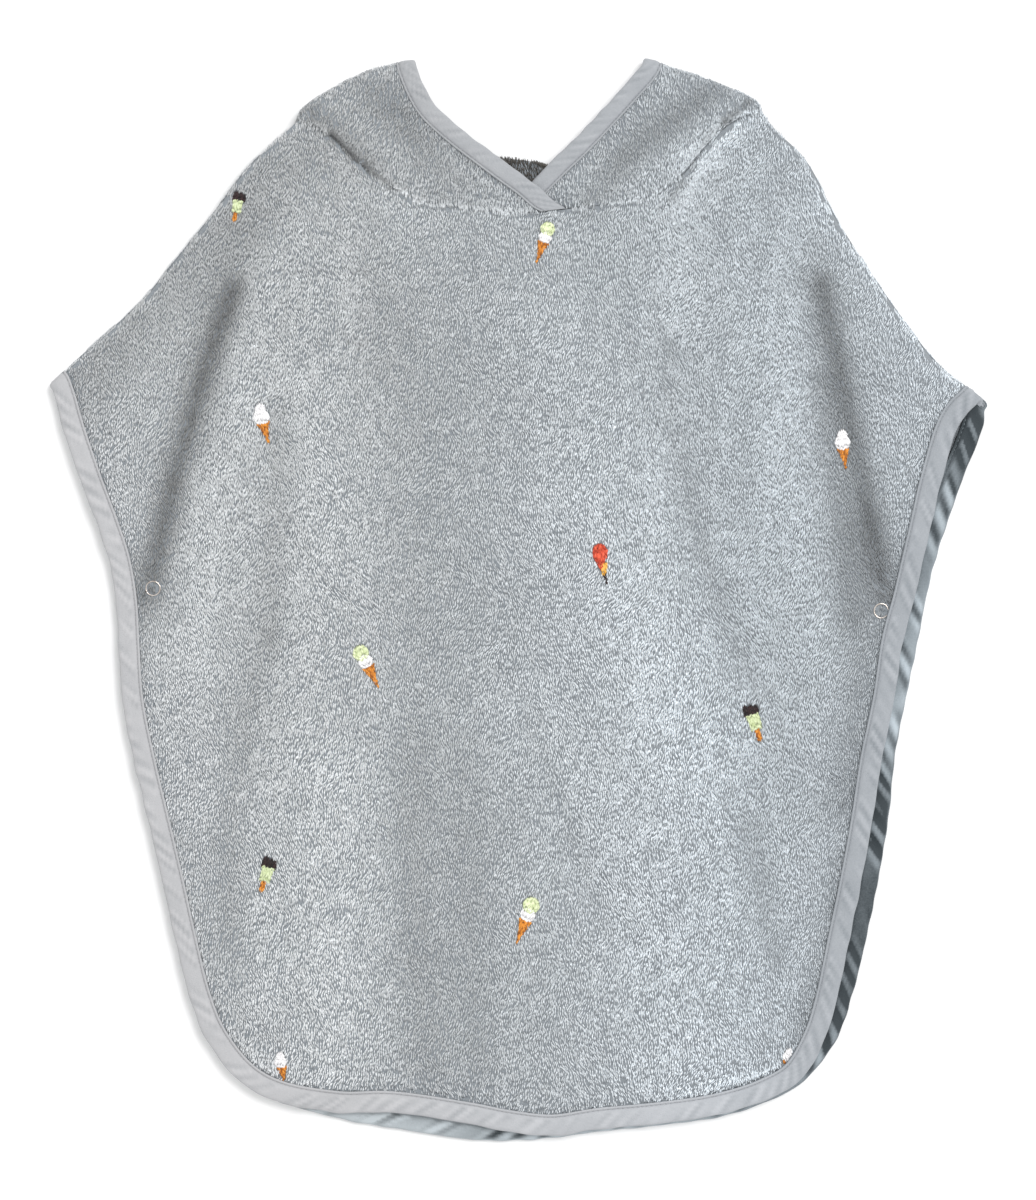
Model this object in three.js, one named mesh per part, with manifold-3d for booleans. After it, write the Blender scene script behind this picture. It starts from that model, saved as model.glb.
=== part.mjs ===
// Child's hooded bath poncho in terry towelling with smooth bias binding, laid out face up.
// Its hood is folded back beneath the back panel, and one press stud is fastened at each side.
// Millimetres, +Z up. X runs across the garment and Y from hem to hood, left and right as seen from the front.
// The origin is under the middle of the garment's box, on the surface that it lies on.
import * as THREE from "three";
import Module from "manifold-3d";

// Cloth thicknesses and the gaps between pieces
const terry = 3.2;
const boundEdge = 2.0; // towelling pressed flat inside its binding
const bindingCloth = 0.8;
const channelRoom = 0.45; // air between the pressed edge and the binding on each side of it
const seamGap = 0.3;
const layGap = 0.6; // between two layers that lie on each other

// Binding: width that shows, and how far the pressed edge stays inside its fold
const bindingWidth = 11.5;
const edgeInset = 1.9;
const bindingHalf = boundEdge / 2 + channelRoom + bindingCloth;

// Hood: its two hidden layers share one rounded solid under the back panel
const hoodLayers = 6.6;
const drapeReach = 130; // how far beyond the hood the panels take to come down to the surface

// Heights of the middle of each layer where nothing lies under the garment
const backMiddle = terry / 2;
const frontMiddle = terry + layGap + terry / 2;
const backEdgeMiddle = bindingHalf;
const frontEdgeMiddle = 2 * bindingHalf + 0.4 + bindingHalf;
const padHeight = hoodLayers + layGap;

// Press studs: open ring in front and behind, clasp between the panels, each in cloth pressed thin around it
const studs = [
  { side: "left", x: -219.5, y: 7 },
  { side: "right", x: 218.5, y: -6.5 },
];
const ringOuter = 9.5;
const ringWire = 1.1;
const claspDiameter = 9;
const pocketRoom = 0.5; // air around a ring or clasp
const frontRingSink = 1.2;
const backRingSink = 1.5;
const claspSinkFront = 0.7;
const claspSinkBack = 0.5;

// Side sections: height on the garment, then the outer edge of each binding
const sides = [
  { y: 107.5, left: -275, frontRight: 266.5, backRight: 281 },
  { y: 71.5, left: -263, frontRight: 254.5, backRight: 267.5 },
  { y: 47.5, left: -254, frontRight: 249, backRight: 259 },
  { y: 23.5, left: -246, frontRight: 243.5, backRight: 251.5 },
  { y: -0.5, left: -242, frontRight: 238, backRight: 245.5 },
  { y: -24.5, left: -240.5, frontRight: 231.5, backRight: 241 },
  { y: -60.5, left: -238, frontRight: 226, backRight: 233.5 },
  { y: -96.5, left: -231, frontRight: 218.5, backRight: 227 },
  { y: -132.5, left: -222.5, frontRight: 213, backRight: 223 },
  { y: -168.5, left: -214, frontRight: 206.5, backRight: 217 },
  { y: -204.5, left: -206, frontRight: 199, backRight: 210 },
  { y: -240.5, left: -197, frontRight: 191.5, backRight: 200.5 },
  { y: -264.5, left: -187, frontRight: 184, backRight: 192 },
];

// Hem sections: place across the garment, then the outer edge of each binding
const hem = [
  { x: -168, front: -288.5, back: -288.5 },
  { x: -147.5, front: -300.5, back: -301 },
  { x: -107.5, front: -308, back: -312.5 },
  { x: -77, front: -308, back: -318 },
  { x: -29, front: -315, back: -325 },
  { x: -8.5, front: -319, back: -325.8 },
  { x: 21, front: -322, back: -324 },
  { x: 49, front: -318, back: -320.5 },
  { x: 85, front: -314.5, back: -316.5 },
  { x: 121, front: -309, back: -311.5 },
  { x: 150, front: -300, back: -302.5 },
  { x: 170, front: -288, back: -292 },
];

// Cuff tips, where each binding meets the shoulder fold
const leftTip = { x: -281, y: 131 };
const frontRightTip = { x: 276.8, y: 122 };
const backRightTip = { x: 281.4, y: 119.5 };

// Shoulder folds, from the cuff up to the hood, as seen from above
const leftShoulder = [
  { x: -254, y: 155.5 },
  { x: -227.5, y: 179.5 },
  { x: -207.5, y: 203.5 },
  { x: -184, y: 232 },
  { x: -161.5, y: 261 },
  { x: -140.5, y: 280 },
];
const rightShoulder = [
  { x: 252, y: 143.5 },
  { x: 224.5, y: 179.5 },
  { x: 208, y: 203.5 },
  { x: 190, y: 232 },
  { x: 180.5, y: 251.5 },
  { x: 171.5, y: 266 },
  { x: 155, y: 282 },
];

// Neck seam of the front panel, from the left shoulder to the right one
const neck = [
  { x: -133.5, y: 286.5 },
  { x: -111, y: 277 },
  { x: -88, y: 256 },
  { x: -62, y: 240.5 },
  { x: -29, y: 234.5 },
  { x: 8, y: 232 },
  { x: 26.5, y: 234 },
  { x: 55, y: 237 },
  { x: 82, y: 242.5 },
  { x: 98, y: 254 },
  { x: 116, y: 276 },
  { x: 131, y: 288 },
  { x: 146, y: 293.5 },
];
const backNeckDrop = 2; // the back panel's neck edge lies this much lower, hidden under the front's

// Each hood half: the bound edge of the face opening from the middle front up to its peak, the fold at the top
// from the shoulder to the peak, and the edge of the hidden layers from the peak to the nape. The left half
// lies on the right one, so its bound edge starts higher up.
const hoods = [
  {
    side: "left",
    opening: [
      { x: 26.5, y: 235.2 },
      { x: 8, y: 251 },
      { x: -11, y: 265 },
      { x: -39, y: 287 },
      { x: -51, y: 299 },
      { x: -57, y: 310 },
      { x: -61, y: 320 },
    ],
    fold: [
      { x: -129, y: 295.5 },
      { x: -119, y: 304 },
      { x: -101.5, y: 314 },
      { x: -85, y: 320.5 },
      { x: -62, y: 325 },
    ],
    nape: [
      { x: -52, y: 286 },
      { x: -41, y: 275 },
      { x: -23, y: 265.5 },
      { x: -9, y: 265.5 },
      { x: 3, y: 265 },
    ],
    openingHeight: 14.1,
    foldHeight: 9.3,
  },
  {
    side: "right",
    opening: [
      { x: 4, y: 247 },
      { x: 21, y: 264.5 },
      { x: 33.5, y: 276.5 },
      { x: 49, y: 293 },
      { x: 64, y: 309.5 },
      { x: 74.5, y: 321 },
    ],
    fold: [
      { x: 143, y: 301 },
      { x: 129, y: 309 },
      { x: 109, y: 316 },
      { x: 91, y: 321.5 },
      { x: 76, y: 326 },
    ],
    nape: [
      { x: 62, y: 287 },
      { x: 48, y: 273 },
      { x: 28, y: 260 },
      { x: 15, y: 261 },
      { x: 11, y: 262.5 },
    ],
    openingHeight: 9.3,
    foldHeight: 9.3,
  },
];
const hoodMiddle = 7; // seam down the back of the hood, across the garment
const napeTop = 264;
const crown = 60; // lowest point of the hidden layers
// Hidden layers: distance of their outer side from the seam, at heights down the back
const hoodSides = [
  { y: 240, out: 127 },
  { y: 180, out: 117 },
  { y: 120, out: 93 },
  { y: 84, out: 62 },
];
const crownHalf = 22; // half width of the blunt end

// Hidden end of the right hood half, under the left one
const tuckedEnd = [
  { x: 28.8, y: 236.5, height: 9.9 },
  { x: 18, y: 238.5, height: 9.4 },
  { x: 15.5, y: 240, height: 9.3 },
];

// Largest folds of the front: a soft trough or ridge along a bent line, with its half width and its rise
const folds = [
  { name: "left deep trough", x0: -161, y0: 230.5, xm: -194, ym: 119.5, x1: -222, y1: 6, width: 10.2, rise: -3.4 },
  { name: "left cuff swell", x0: -206, y0: 161.5, xm: -236, ym: 89.5, x1: -233, y1: 23.5, width: 15, rise: 1.2 },
  { name: "beside left trough", x0: -153.5, y0: 203.5, xm: -171.5, ym: 101.5, x1: -183.5, y1: 5.5, width: 9.6, rise: 1.6 },
  { name: "left soft trough", x0: -141, y0: 101.5, xm: -150, ym: -12.5, x1: -168, y1: -210.5, width: 10.8, rise: -1.6 },
  { name: "left broad ridge", x0: -110, y0: 215.5, xm: -116, ym: -12.5, x1: -104, y1: -252.5, width: 27, rise: 2.2 },
  { name: "middle broad trough", x0: -11, y0: 209.5, xm: -41, ym: -30.5, x1: -53, y1: -288.5, width: 30, rise: -1.8 },
  { name: "middle lower core", x0: -51.5, y0: -84.5, xm: -56, ym: -180.5, x1: -47, y1: -276.5, width: 13.2, rise: -1.4 },
  { name: "hem trough", x0: -8, y0: -114.5, xm: -29, ym: -210.5, x1: -20, y1: -306.5, width: 9.5, rise: -1.6 },
  { name: "right broad ridge", x0: 16, y0: 161.5, xm: 73, ym: 23.5, x1: 112, y1: -276.5, width: 27, rise: 3 },
  { name: "upper right crease", x0: 96, y0: 149.5, xm: 109, ym: 47.5, x1: 136, y1: -36.5, width: 9, rise: -1.6 },
  { name: "lower middle crease", x0: 10, y0: -72.5, xm: 34, ym: -156.5, x1: 76, y1: -222.5, width: 9, rise: -1.3 },
  { name: "right ridge", x0: 169, y0: 59.5, xm: 181, ym: -24.5, x1: 190, y1: -90.5, width: 10.8, rise: 1.6 },
  { name: "right deep trough", x0: 182.5, y0: 209.5, xm: 193, ym: 107.5, x1: 218, y1: 17.5, width: 11.4, rise: -3.6 },
  { name: "right lower trough", x0: 214, y0: -20, xm: 204, ym: -60.5, x1: 198, y1: -120.5, width: 9, rise: -2 },
  { name: "right hem crease", x0: 144, y0: -114.5, xm: 150, ym: -162.5, x1: 157, y1: -204.5, width: 9, rise: -1.6 },
  { name: "right chest ridge", x0: 157, y0: 179.5, xm: 166, ym: 107.5, x1: 169, y1: 59.5, width: 13.2, rise: 1.2 },
];
const puff = 2.4; // how far the front lies clear of the back between folds
const mostPuff = 5;
const backShare = 0.65; // share of a ridge that the back panel follows
const backStaysDown = 2.5; // ridges lower than this leave the back flat on the surface

// Soft folds in the hood's front wings
const wingFolds = [
  { name: "left wing trough", x0: -70, y0: 302, xm: -42, ym: 272, x1: -14, y1: 256, width: 7, rise: -1 },
  { name: "left wing swell", x0: -110, y0: 296, xm: -80, ym: 278, x1: -40, y1: 254, width: 10, rise: 1.2 },
  { name: "right wing trough", x0: 118, y0: 309, xm: 98, ym: 289, x1: 61, y1: 266, width: 8, rise: -1 },
  { name: "right wing swell", x0: 124, y0: 298, xm: 104, ym: 275, x1: 74, y1: 258, width: 8, rise: 1.2 },
];

const wingPuff = 0.8;

// Mesh spacing
const frontMesh = { shoulder: 7, rows: 27 };
const backMesh = { shoulder: 6, neck: 10, rows: 20 };
const neckColumns = { left: 8, right: 7 }; // columns of each hood half along the neck seam
const wingRows = 7;
const turnRows = 5;
const hiddenRows = 9;
const thickening = [0.012, 0.026]; // shares of the hidden layers' length over which they reach full thickness
const napeRow = 4; // row of the hidden layers that starts at the middle of the nape
const cuffTurn = 9; // length of each bound edge taken up by the turn at the cuff
const bandDepths = [0, 10, 13]; // pressed edge, end of the pressing, full towelling
const bendAngles = [90, 45, 0]; // quarter turn of each panel at the shoulder fold, in degrees
const bendInset = { edge: 4.6, inner: 3.5 }; // from the fold seen from above to the axis of the turn
const seamDepths = [seamGap / 2, 2, 3.7];
const seamHalves = [1.2, 1.5, terry / 2];
const hemCorner = 0.365; // share of a panel's bound edge at which its side ends and its hem begins

const clamp = (value, low, high) => Math.min(Math.max(value, low), high);
const soften = (share) => {
  const t = clamp(share, 0, 1);
  return t * t * (3 - 2 * t);
};
const mix = (a, b, share) => a + (b - a) * share;
const flat = ({ x, y }) => new THREE.Vector3(x, y, 0);
const radians = THREE.MathUtils.degToRad;

function curveThrough(rows) {
  const curve = new THREE.CatmullRomCurve3(rows.map(flat), false, "centripetal");
  curve.arcLengthDivisions = 600;
  return curve;
}

// Point and inward normal of a curve at a share of its length; the garment lies on the side named by turn
function station(curve, share, turn) {
  const point = curve.getPointAt(clamp(share, 0, 1));
  const along = curve.getTangentAt(clamp(share, 0, 1));
  return { point, along, inward: new THREE.Vector3(-along.y * turn, along.x * turn, 0).normalize() };
}

function distanceToLine(x, y, line) {
  let best = Infinity;
  for (let k = 1; k < line.length; k++) {
    const a = line[k - 1];
    const b = line[k];
    const lengthSquared = (b.x - a.x) ** 2 + (b.y - a.y) ** 2;
    const share = clamp(((x - a.x) * (b.x - a.x) + (y - a.y) * (b.y - a.y)) / lengthSquared, 0, 1);
    best = Math.min(best, Math.hypot(x - mix(a.x, b.x, share), y - mix(a.y, b.y, share)));
  }
  return best;
}

function insideLoop(x, y, loop) {
  let inside = false;
  for (let k = 0, last = loop.length - 1; k < loop.length; last = k++) {
    const a = loop[k];
    const b = loop[last];
    if (a.y > y !== b.y > y && x < ((b.x - a.x) * (y - a.y)) / (b.y - a.y) + a.x) inside = !inside;
  }
  return inside;
}

// Folds: each is a bell-shaped ridge or trough across its line, fading out towards both ends
const foldLine = (row) => new THREE.QuadraticBezierCurve3(
  new THREE.Vector3(row.x0, row.y0, 0),
  new THREE.Vector3(2 * row.xm - (row.x0 + row.x1) / 2, 2 * row.ym - (row.y0 + row.y1) / 2, 0),
  new THREE.Vector3(row.x1, row.y1, 0),
).getPoints(14);
const withLines = (rows) => rows.map((row) => ({ ...row, line: foldLine(row) }));
const frontFolds = withLines(folds);
const hoodFolds = withLines(wingFolds);

function foldRise(x, y, rows) {
  let rise = 0;
  for (const row of rows) {
    const off = distanceToLine(x, y, row.line) / row.width;
    if (off < 3) rise += row.rise * Math.exp(-off * off / 2);
  }
  return rise;
}

// Outlines in the order left cuff, hem, right cuff
const boundOutline = (rightColumn, hemColumn, rightTip) => curveThrough([
  leftTip,
  ...sides.map((row) => ({ x: row.left, y: row.y })),
  ...hem.map((row) => ({ x: row.x, y: row[hemColumn] })),
  ...sides.slice().reverse().map((row) => ({ x: row[rightColumn], y: row.y })),
  rightTip,
]);
const frontEdge = boundOutline("frontRight", "front", frontRightTip);
const backEdge = boundOutline("backRight", "back", backRightTip);
const shoulderLines = [
  [leftTip, ...leftShoulder, neck[0]],
  [frontRightTip, ...rightShoulder, neck.at(-1)],
];
const edgeLine = frontEdge.getSpacedPoints(160);

// Outline of the hood's hidden layers, seen through the garment
const hiddenSide = (sign) => hoodSides.map((row) => ({ x: hoodMiddle + sign * row.out, y: row.y }));
const hoodLoop = [
  ...hoods[0].fold,
  ...hoods[0].nape,
  ...hoods[1].nape.slice().reverse(),
  ...hoods[1].fold.slice().reverse(),
  ...hiddenSide(1),
  { x: hoodMiddle + crownHalf, y: crown },
  { x: hoodMiddle - crownHalf, y: crown },
  ...hiddenSide(-1).reverse(),
];
const closedHoodLoop = [...hoodLoop, hoodLoop[0]];

// Height of what the hood's hidden layers lift
function pad(x, y) {
  if (insideLoop(x, y, hoodLoop)) return padHeight;
  return padHeight * (1 - soften(distanceToLine(x, y, closedHoodLoop) / drapeReach));
}

// How far the front panel lies clear of the back: nothing at the shoulder folds and studs, less at the edges
function clearance(x, y) {
  const shoulder = Math.min(...shoulderLines.map((line) => distanceToLine(x, y, line)));
  const stud = Math.min(...studs.map((place) => Math.hypot(x - place.x, y - place.y)));
  const edge = distanceToLine(x, y, edgeLine);
  const calm = soften(shoulder / 45) * soften((stud - 8) / 34) * mix(0.6, 1, soften((edge - 13) / 30));
  return calm * clamp(puff + foldRise(x, y, frontFolds), 0, mostPuff);
}
const lift = (x, y) => backShare * Math.max(0, clearance(x, y) - backStaysDown);

const layers = {
  front: {
    up: 1,
    inner: (x, y) => frontMiddle + pad(x, y) + clearance(x, y),
    edge: (x, y) => frontEdgeMiddle + pad(x, y) + clearance(x, y),
  },
  back: {
    up: -1,
    inner: (x, y) => backMiddle + pad(x, y) + lift(x, y),
    edge: (x, y) => backEdgeMiddle + pad(x, y) + lift(x, y),
  },
};

// A grid of places, each the middle of the cloth with its thickness direction, becomes one closed wall.
// A rim entry gives the points that round or groove its outer edge between the two faces.
function closedWall(grid, rim = []) {
  const rows = grid.length - 1;
  const columns = grid[0].length - 1;
  const positions = [];
  const faces = [];
  const add = (point) => positions.push(point.x, point.y, point.z) / 3 - 1;
  const offset = (cell, share) => cell.p.clone().addScaledVector(cell.d, cell.half * share);
  const upper = grid.map((row) => row.map((cell) => add(offset(cell, 1))));
  const lower = grid.map((row) => row.map((cell) => add(offset(cell, -1))));
  const quad = (a, b, c, d, other) => faces.push(...(other ? [a, b, c, a, c, d] : [a, b, d, b, c, d]));
  for (let j = 0; j < rows; j++) {
    for (let i = 0; i < columns; i++) {
      const other = i >= columns / 2;
      quad(upper[j][i], upper[j][i + 1], upper[j + 1][i + 1], upper[j + 1][i], other);
      const [a, b, c, d] = [lower[j][i], lower[j][i + 1], lower[j + 1][i + 1], lower[j + 1][i]];
      faces.push(...(other ? [a, c, b, a, d, c] : [a, d, b, b, d, c]));
    }
  }
  const border = [];
  for (let i = 0; i < columns; i++) border.push([0, i]);
  for (let j = 0; j < rows; j++) border.push([j, columns]);
  for (let i = columns; i > 0; i--) border.push([rows, i]);
  for (let j = rows; j > 0; j--) border.push([j, 0]);
  const ladders = border.map(([j, i]) => {
    const cell = grid[j][i];
    const between = rim.map(({ share, out }) =>
      add(offset(cell, share).addScaledVector(cell.out ?? new THREE.Vector3(), out * (cell.round ?? 0))));
    return [upper[j][i], ...between, lower[j][i]];
  });
  ladders.forEach((here, k) => {
    const next = ladders[(k + 1) % ladders.length];
    for (let s = 1; s < here.length; s++) quad(here[s - 1], here[s], next[s], next[s - 1], false);
  });
  return { positions, faces };
}

// Turns a wall's faces outwards where its volume came out negative
function facingOut({ positions, faces }) {
  const corner = (k) => new THREE.Vector3().fromArray(positions, faces[k] * 3);
  let volume = 0;
  for (let k = 0; k < faces.length; k += 3) volume += corner(k).dot(corner(k + 1).cross(corner(k + 2)));
  if (volume > 0) return { positions, faces };
  const turned = [];
  for (let k = 0; k < faces.length; k += 3) turned.push(faces[k], faces[k + 2], faces[k + 1]);
  return { positions, faces: turned };
}

const wasm = await Module();
wasm.setup();

const asManifold = ({ positions, faces }) => new wasm.Manifold(new wasm.Mesh({
  numProp: 3,
  vertProperties: new Float32Array(positions),
  triVerts: new Uint32Array(faces),
}));

function asGeometry({ positions, faces }) {
  const geometry = new THREE.BufferGeometry();
  geometry.setAttribute("position", new THREE.Float32BufferAttribute(positions, 3));
  geometry.setIndex(faces);
  geometry.computeVertexNormals();
  return geometry;
}

function fromManifold(solid) {
  const mesh = solid.getMesh();
  return asGeometry({ positions: Array.from(mesh.vertProperties), faces: Array.from(mesh.triVerts) });
}

// Top edge of a panel: shoulder folds on both sides of the neck seam, one station for each column
const neckCurve = curveThrough(neck);
const neckLength = neckCurve.getLength();
const leftEndShare = nearestShare(neckCurve, hoods[0].opening[0]);
const openingAlong = curveThrough(hoods[0].opening).getTangentAt(0);
const neckAlong = neckCurve.getTangentAt(leftEndShare);
const crossing = Math.abs(openingAlong.x * neckAlong.y - openingAlong.y * neckAlong.x);
const beforeEnd = (depth) => leftEndShare - depth / crossing / neckLength;
const neckShares = [
  ...Array.from({ length: neckColumns.left }, (_, k) => beforeEnd(bandDepths[2]) * k / (neckColumns.left - 1)),
  beforeEnd(bandDepths[1]),
  leftEndShare,
  ...Array.from({ length: neckColumns.right }, (_, k) => mix(leftEndShare, 1, (k + 1) / neckColumns.right)),
];
const backNeckShares = Array.from({ length: backMesh.neck + 1 }, (_, k) => k / backMesh.neck);

function nearestShare(curve, place) {
  const steps = 400;
  let best = 0;
  for (let k = 0; k <= steps; k++) {
    const near = (share) => curve.getPointAt(share).distanceTo(flat(place));
    if (near(k / steps) < near(best)) best = k / steps;
  }
  return best;
}

function topStations(layer, rightTip, shoulderColumns, shares) {
  const left = curveThrough([leftTip, ...leftShoulder, neck[0]]);
  const right = curveThrough([neck.at(-1), ...rightShoulder.slice().reverse(), rightTip]);
  const fromCuff = (curve, k) => mix((edgeInset + bandDepths[2]) / curve.getLength(), 1, k / (shoulderColumns + 1));
  const bendAt = (k) => (k === shoulderColumns ? 0.8 : 1);
  const stations = [];
  for (let k = 1; k <= shoulderColumns; k++) {
    stations.push({ ...station(left, fromCuff(left, k), -1), bend: bendAt(k) });
  }
  shares.forEach((share, k) => {
    const corner = k === 0 || k === shares.length - 1;
    const here = station(neckCurve, share, -1);
    if (layer === layers.back) here.point.y -= backNeckDrop * soften(2 - Math.abs(share - 0.5) * 4);
    if (corner) {
      const beside = station(k === 0 ? left : right, k === 0 ? 1 : 0, -1);
      const half = here.inward.clone().add(beside.inward).normalize();
      here.inward = half.divideScalar(Math.max(half.dot(beside.inward), 0.5));
    }
    stations.push({ ...here, bend: corner ? 0.35 : 0 });
  });
  for (let k = shoulderColumns; k > 0; k--) {
    stations.push({ ...station(right, 1 - fromCuff(right, k), -1), bend: bendAt(k) });
  }
  return { stations, left, right };
}

// One place in a panel's grid, given where its shoulder bend turns and how far it has turned
function bentCell(axis, outward, angle, layer, zone) {
  const middle = layer[zone](axis.x, axis.y);
  const meet = (layers.front[zone](axis.x, axis.y) + layers.back[zone](axis.x, axis.y)) / 2;
  const radius = Math.abs(middle - meet) - seamGap / 2;
  const level = meet + layer.up * (seamGap / 2 + radius * Math.cos(angle));
  const p = axis.clone().addScaledVector(outward, radius * Math.sin(angle)).setZ(level);
  const d = outward.clone().multiplyScalar(Math.sin(angle)).setZ(layer.up * Math.cos(angle)).normalize();
  return { p, d, half: (zone === "edge" ? boundEdge : terry) / 2 };
}

function panelGrid(layer, edgeCurve, rightTip, { shoulder, rows }, shares) {
  const { stations, left, right } = topStations(layer, rightTip, shoulder, shares);
  const columns = stations.length + 5;
  const grid = Array.from({ length: rows + 1 }, () => new Array(columns + 1));
  const bends = bendAngles.map(radians);
  const length = edgeCurve.getLength();

  // Shoulders and neck, three rows
  stations.forEach((here, k) => {
    const i = k + 3;
    const outward = here.inward.clone().negate();
    bends.forEach((bend, j) => {
      const turned = bentCell(here.point.clone().addScaledVector(here.inward, bendInset.inner),
        outward.clone().normalize(), bend * here.bend, layer, "inner");
      const plain = here.point.clone().addScaledVector(here.inward, seamDepths[j]);
      plain.z = layer.inner(plain.x, plain.y);
      const cell = { p: plain.lerp(turned.p, here.bend), d: turned.d, half: mix(seamHalves[j], terry / 2, here.bend) };
      grid[j][i] = here.bend > 0 ? cell : { p: cell.p, d: new THREE.Vector3(0, 0, layer.up), half: seamHalves[j] };
    });
  });

  // Cuff corners: oblique offsets from the tip along the shoulder and along the side
  const corner = (tip, alongTop, alongSide, column) => {
    const sine = Math.abs(alongTop.x * alongSide.y - alongTop.y * alongSide.x);
    const outward = new THREE.Vector3(-alongSide.x, -alongSide.y, 0)
      .addScaledVector(alongTop, alongSide.dot(alongTop)).normalize();
    bandDepths.forEach((depth, i) => {
      const zone = i < 2 ? "edge" : "inner";
      const axis = flat(tip).addScaledVector(alongTop, (edgeInset + depth) / sine)
        .addScaledVector(alongSide, bendInset[zone] / sine);
      bends.forEach((bend, j) => {
        grid[j][column(i)] = bentCell(axis, outward, bend, layer, zone);
      });
    });
  };
  const down = edgeCurve.getTangentAt(0);
  const up = edgeCurve.getTangentAt(1).negate();
  corner(leftTip, left.getTangentAt(0), down, (i) => i);
  corner(rightTip, right.getTangentAt(1).negate(), up, (i) => columns - i);

  // Bands along the sides and the hem: pressed edge, end of the pressing, full towelling
  const start = cuffTurn / length;
  const band = (share, ring) => {
    const here = station(edgeCurve, share, 1);
    const p = here.point.clone().addScaledVector(here.inward, edgeInset + bandDepths[ring]);
    const edgePoint = here.point.clone().addScaledVector(here.inward, edgeInset);
    const level = ring < 2 ? layer.edge(edgePoint.x, edgePoint.y) : layer.inner(p.x, p.y);
    const half = (ring < 2 ? boundEdge : terry) / 2;
    return { p: p.setZ(level), d: new THREE.Vector3(0, 0, layer.up), half, share, inward: here.inward };
  };
  bandDepths.forEach((_, ring) => {
    for (let j = 3; j <= rows - ring; j++) {
      const down = (j - 2) / (rows - ring - 2);
      grid[j][ring] = band(mix(start, hemCorner, down), ring);
      grid[j][columns - ring] = band(mix(1 - start, 1 - hemCorner, down), ring);
    }
    for (let i = ring + 1; i < columns - ring; i++) {
      grid[rows - ring][i] = band(mix(hemCorner, 1 - hemCorner, (i - ring) / (columns - 2 * ring)), ring);
    }
  });

  // Middle: a patch between the innermost band on each side
  const [i0, i1, j0, j1] = [2, columns - 2, 2, rows - 2];
  for (let j = j0 + 1; j < j1; j++) {
    for (let i = i0 + 1; i < i1; i++) {
      const u = (i - i0) / (i1 - i0);
      const v = (j - j0) / (j1 - j0);
      const p = patchPoint(u, v, grid[j0][i].p, grid[j1][i].p, grid[j][i0].p, grid[j][i1].p,
        [grid[j0][i0].p, grid[j0][i1].p, grid[j1][i0].p, grid[j1][i1].p]);
      grid[j][i] = { p: p.setZ(layer.inner(p.x, p.y)), d: new THREE.Vector3(0, 0, layer.up), half: terry / 2 };
    }
  }
  return grid;
}

// Coons patch: a point between four border points and four corners
function patchPoint(u, v, top, bottom, left, right, [c00, c10, c01, c11]) {
  return new THREE.Vector3()
    .addScaledVector(top, 1 - v).addScaledVector(bottom, v)
    .addScaledVector(left, 1 - u).addScaledVector(right, u)
    .addScaledVector(c00, -(1 - u) * (1 - v)).addScaledVector(c10, -u * (1 - v))
    .addScaledVector(c01, -(1 - u) * v).addScaledVector(c11, -u * v);
}

// Binding: a channel folded over a pressed edge, swept through that edge's own places
const channel = [
  [bindingWidth, bindingHalf],
  [2.6, bindingHalf],
  [0.7, 1.6],
  [0, 0],
  [0.7, -1.6],
  [2.6, -bindingHalf],
  [bindingWidth, -bindingHalf],
  [bindingWidth, -bindingHalf + bindingCloth],
  [edgeInset - 0.4, -bindingHalf + bindingCloth],
  [edgeInset - 0.4, bindingHalf - bindingCloth],
  [bindingWidth, bindingHalf - bindingCloth],
].map(([depth, rise]) => new THREE.Vector2(depth, rise));

function sweptChannel(places) {
  const positions = [];
  const faces = [];
  const size = channel.length;
  places.forEach(({ p, d, inward }) => channel.forEach((corner) => {
    const point = p.clone().addScaledVector(inward, corner.x - edgeInset).addScaledVector(d, corner.y);
    positions.push(point.x, point.y, point.z);
  }));
  for (let k = 1; k < places.length; k++) {
    for (let s = 0; s < size; s++) {
      const [a, b] = [(k - 1) * size + s, (k - 1) * size + ((s + 1) % size)];
      faces.push(a, b, a + size, b, b + size, a + size);
    }
  }
  const last = (places.length - 1) * size;
  THREE.ShapeUtils.triangulateShape(channel, []).forEach(([a, b, c]) => {
    faces.push(a, c, b, last + a, last + b, last + c);
  });
  return facingOut({ positions, faces });
}

// Places along a panel's pressed edge: down the left side, along the hem and up the right side
function edgePlaces(grid, alongLeft, alongRight) {
  const rows = grid.length - 1;
  const columns = grid[0].length - 1;
  const places = [];
  const push = (cell, inward) => places.push({ ...cell, inward: cell.inward ?? inward });
  for (let j = 0; j <= rows; j++) push(grid[j][0], alongLeft);
  for (let i = 1; i < columns; i++) push(grid[rows][i]);
  for (let j = rows; j >= 0; j--) push(grid[j][columns], alongRight);
  return places.map((place) => ({ ...place, d: place.d.clone() }));
}

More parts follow.
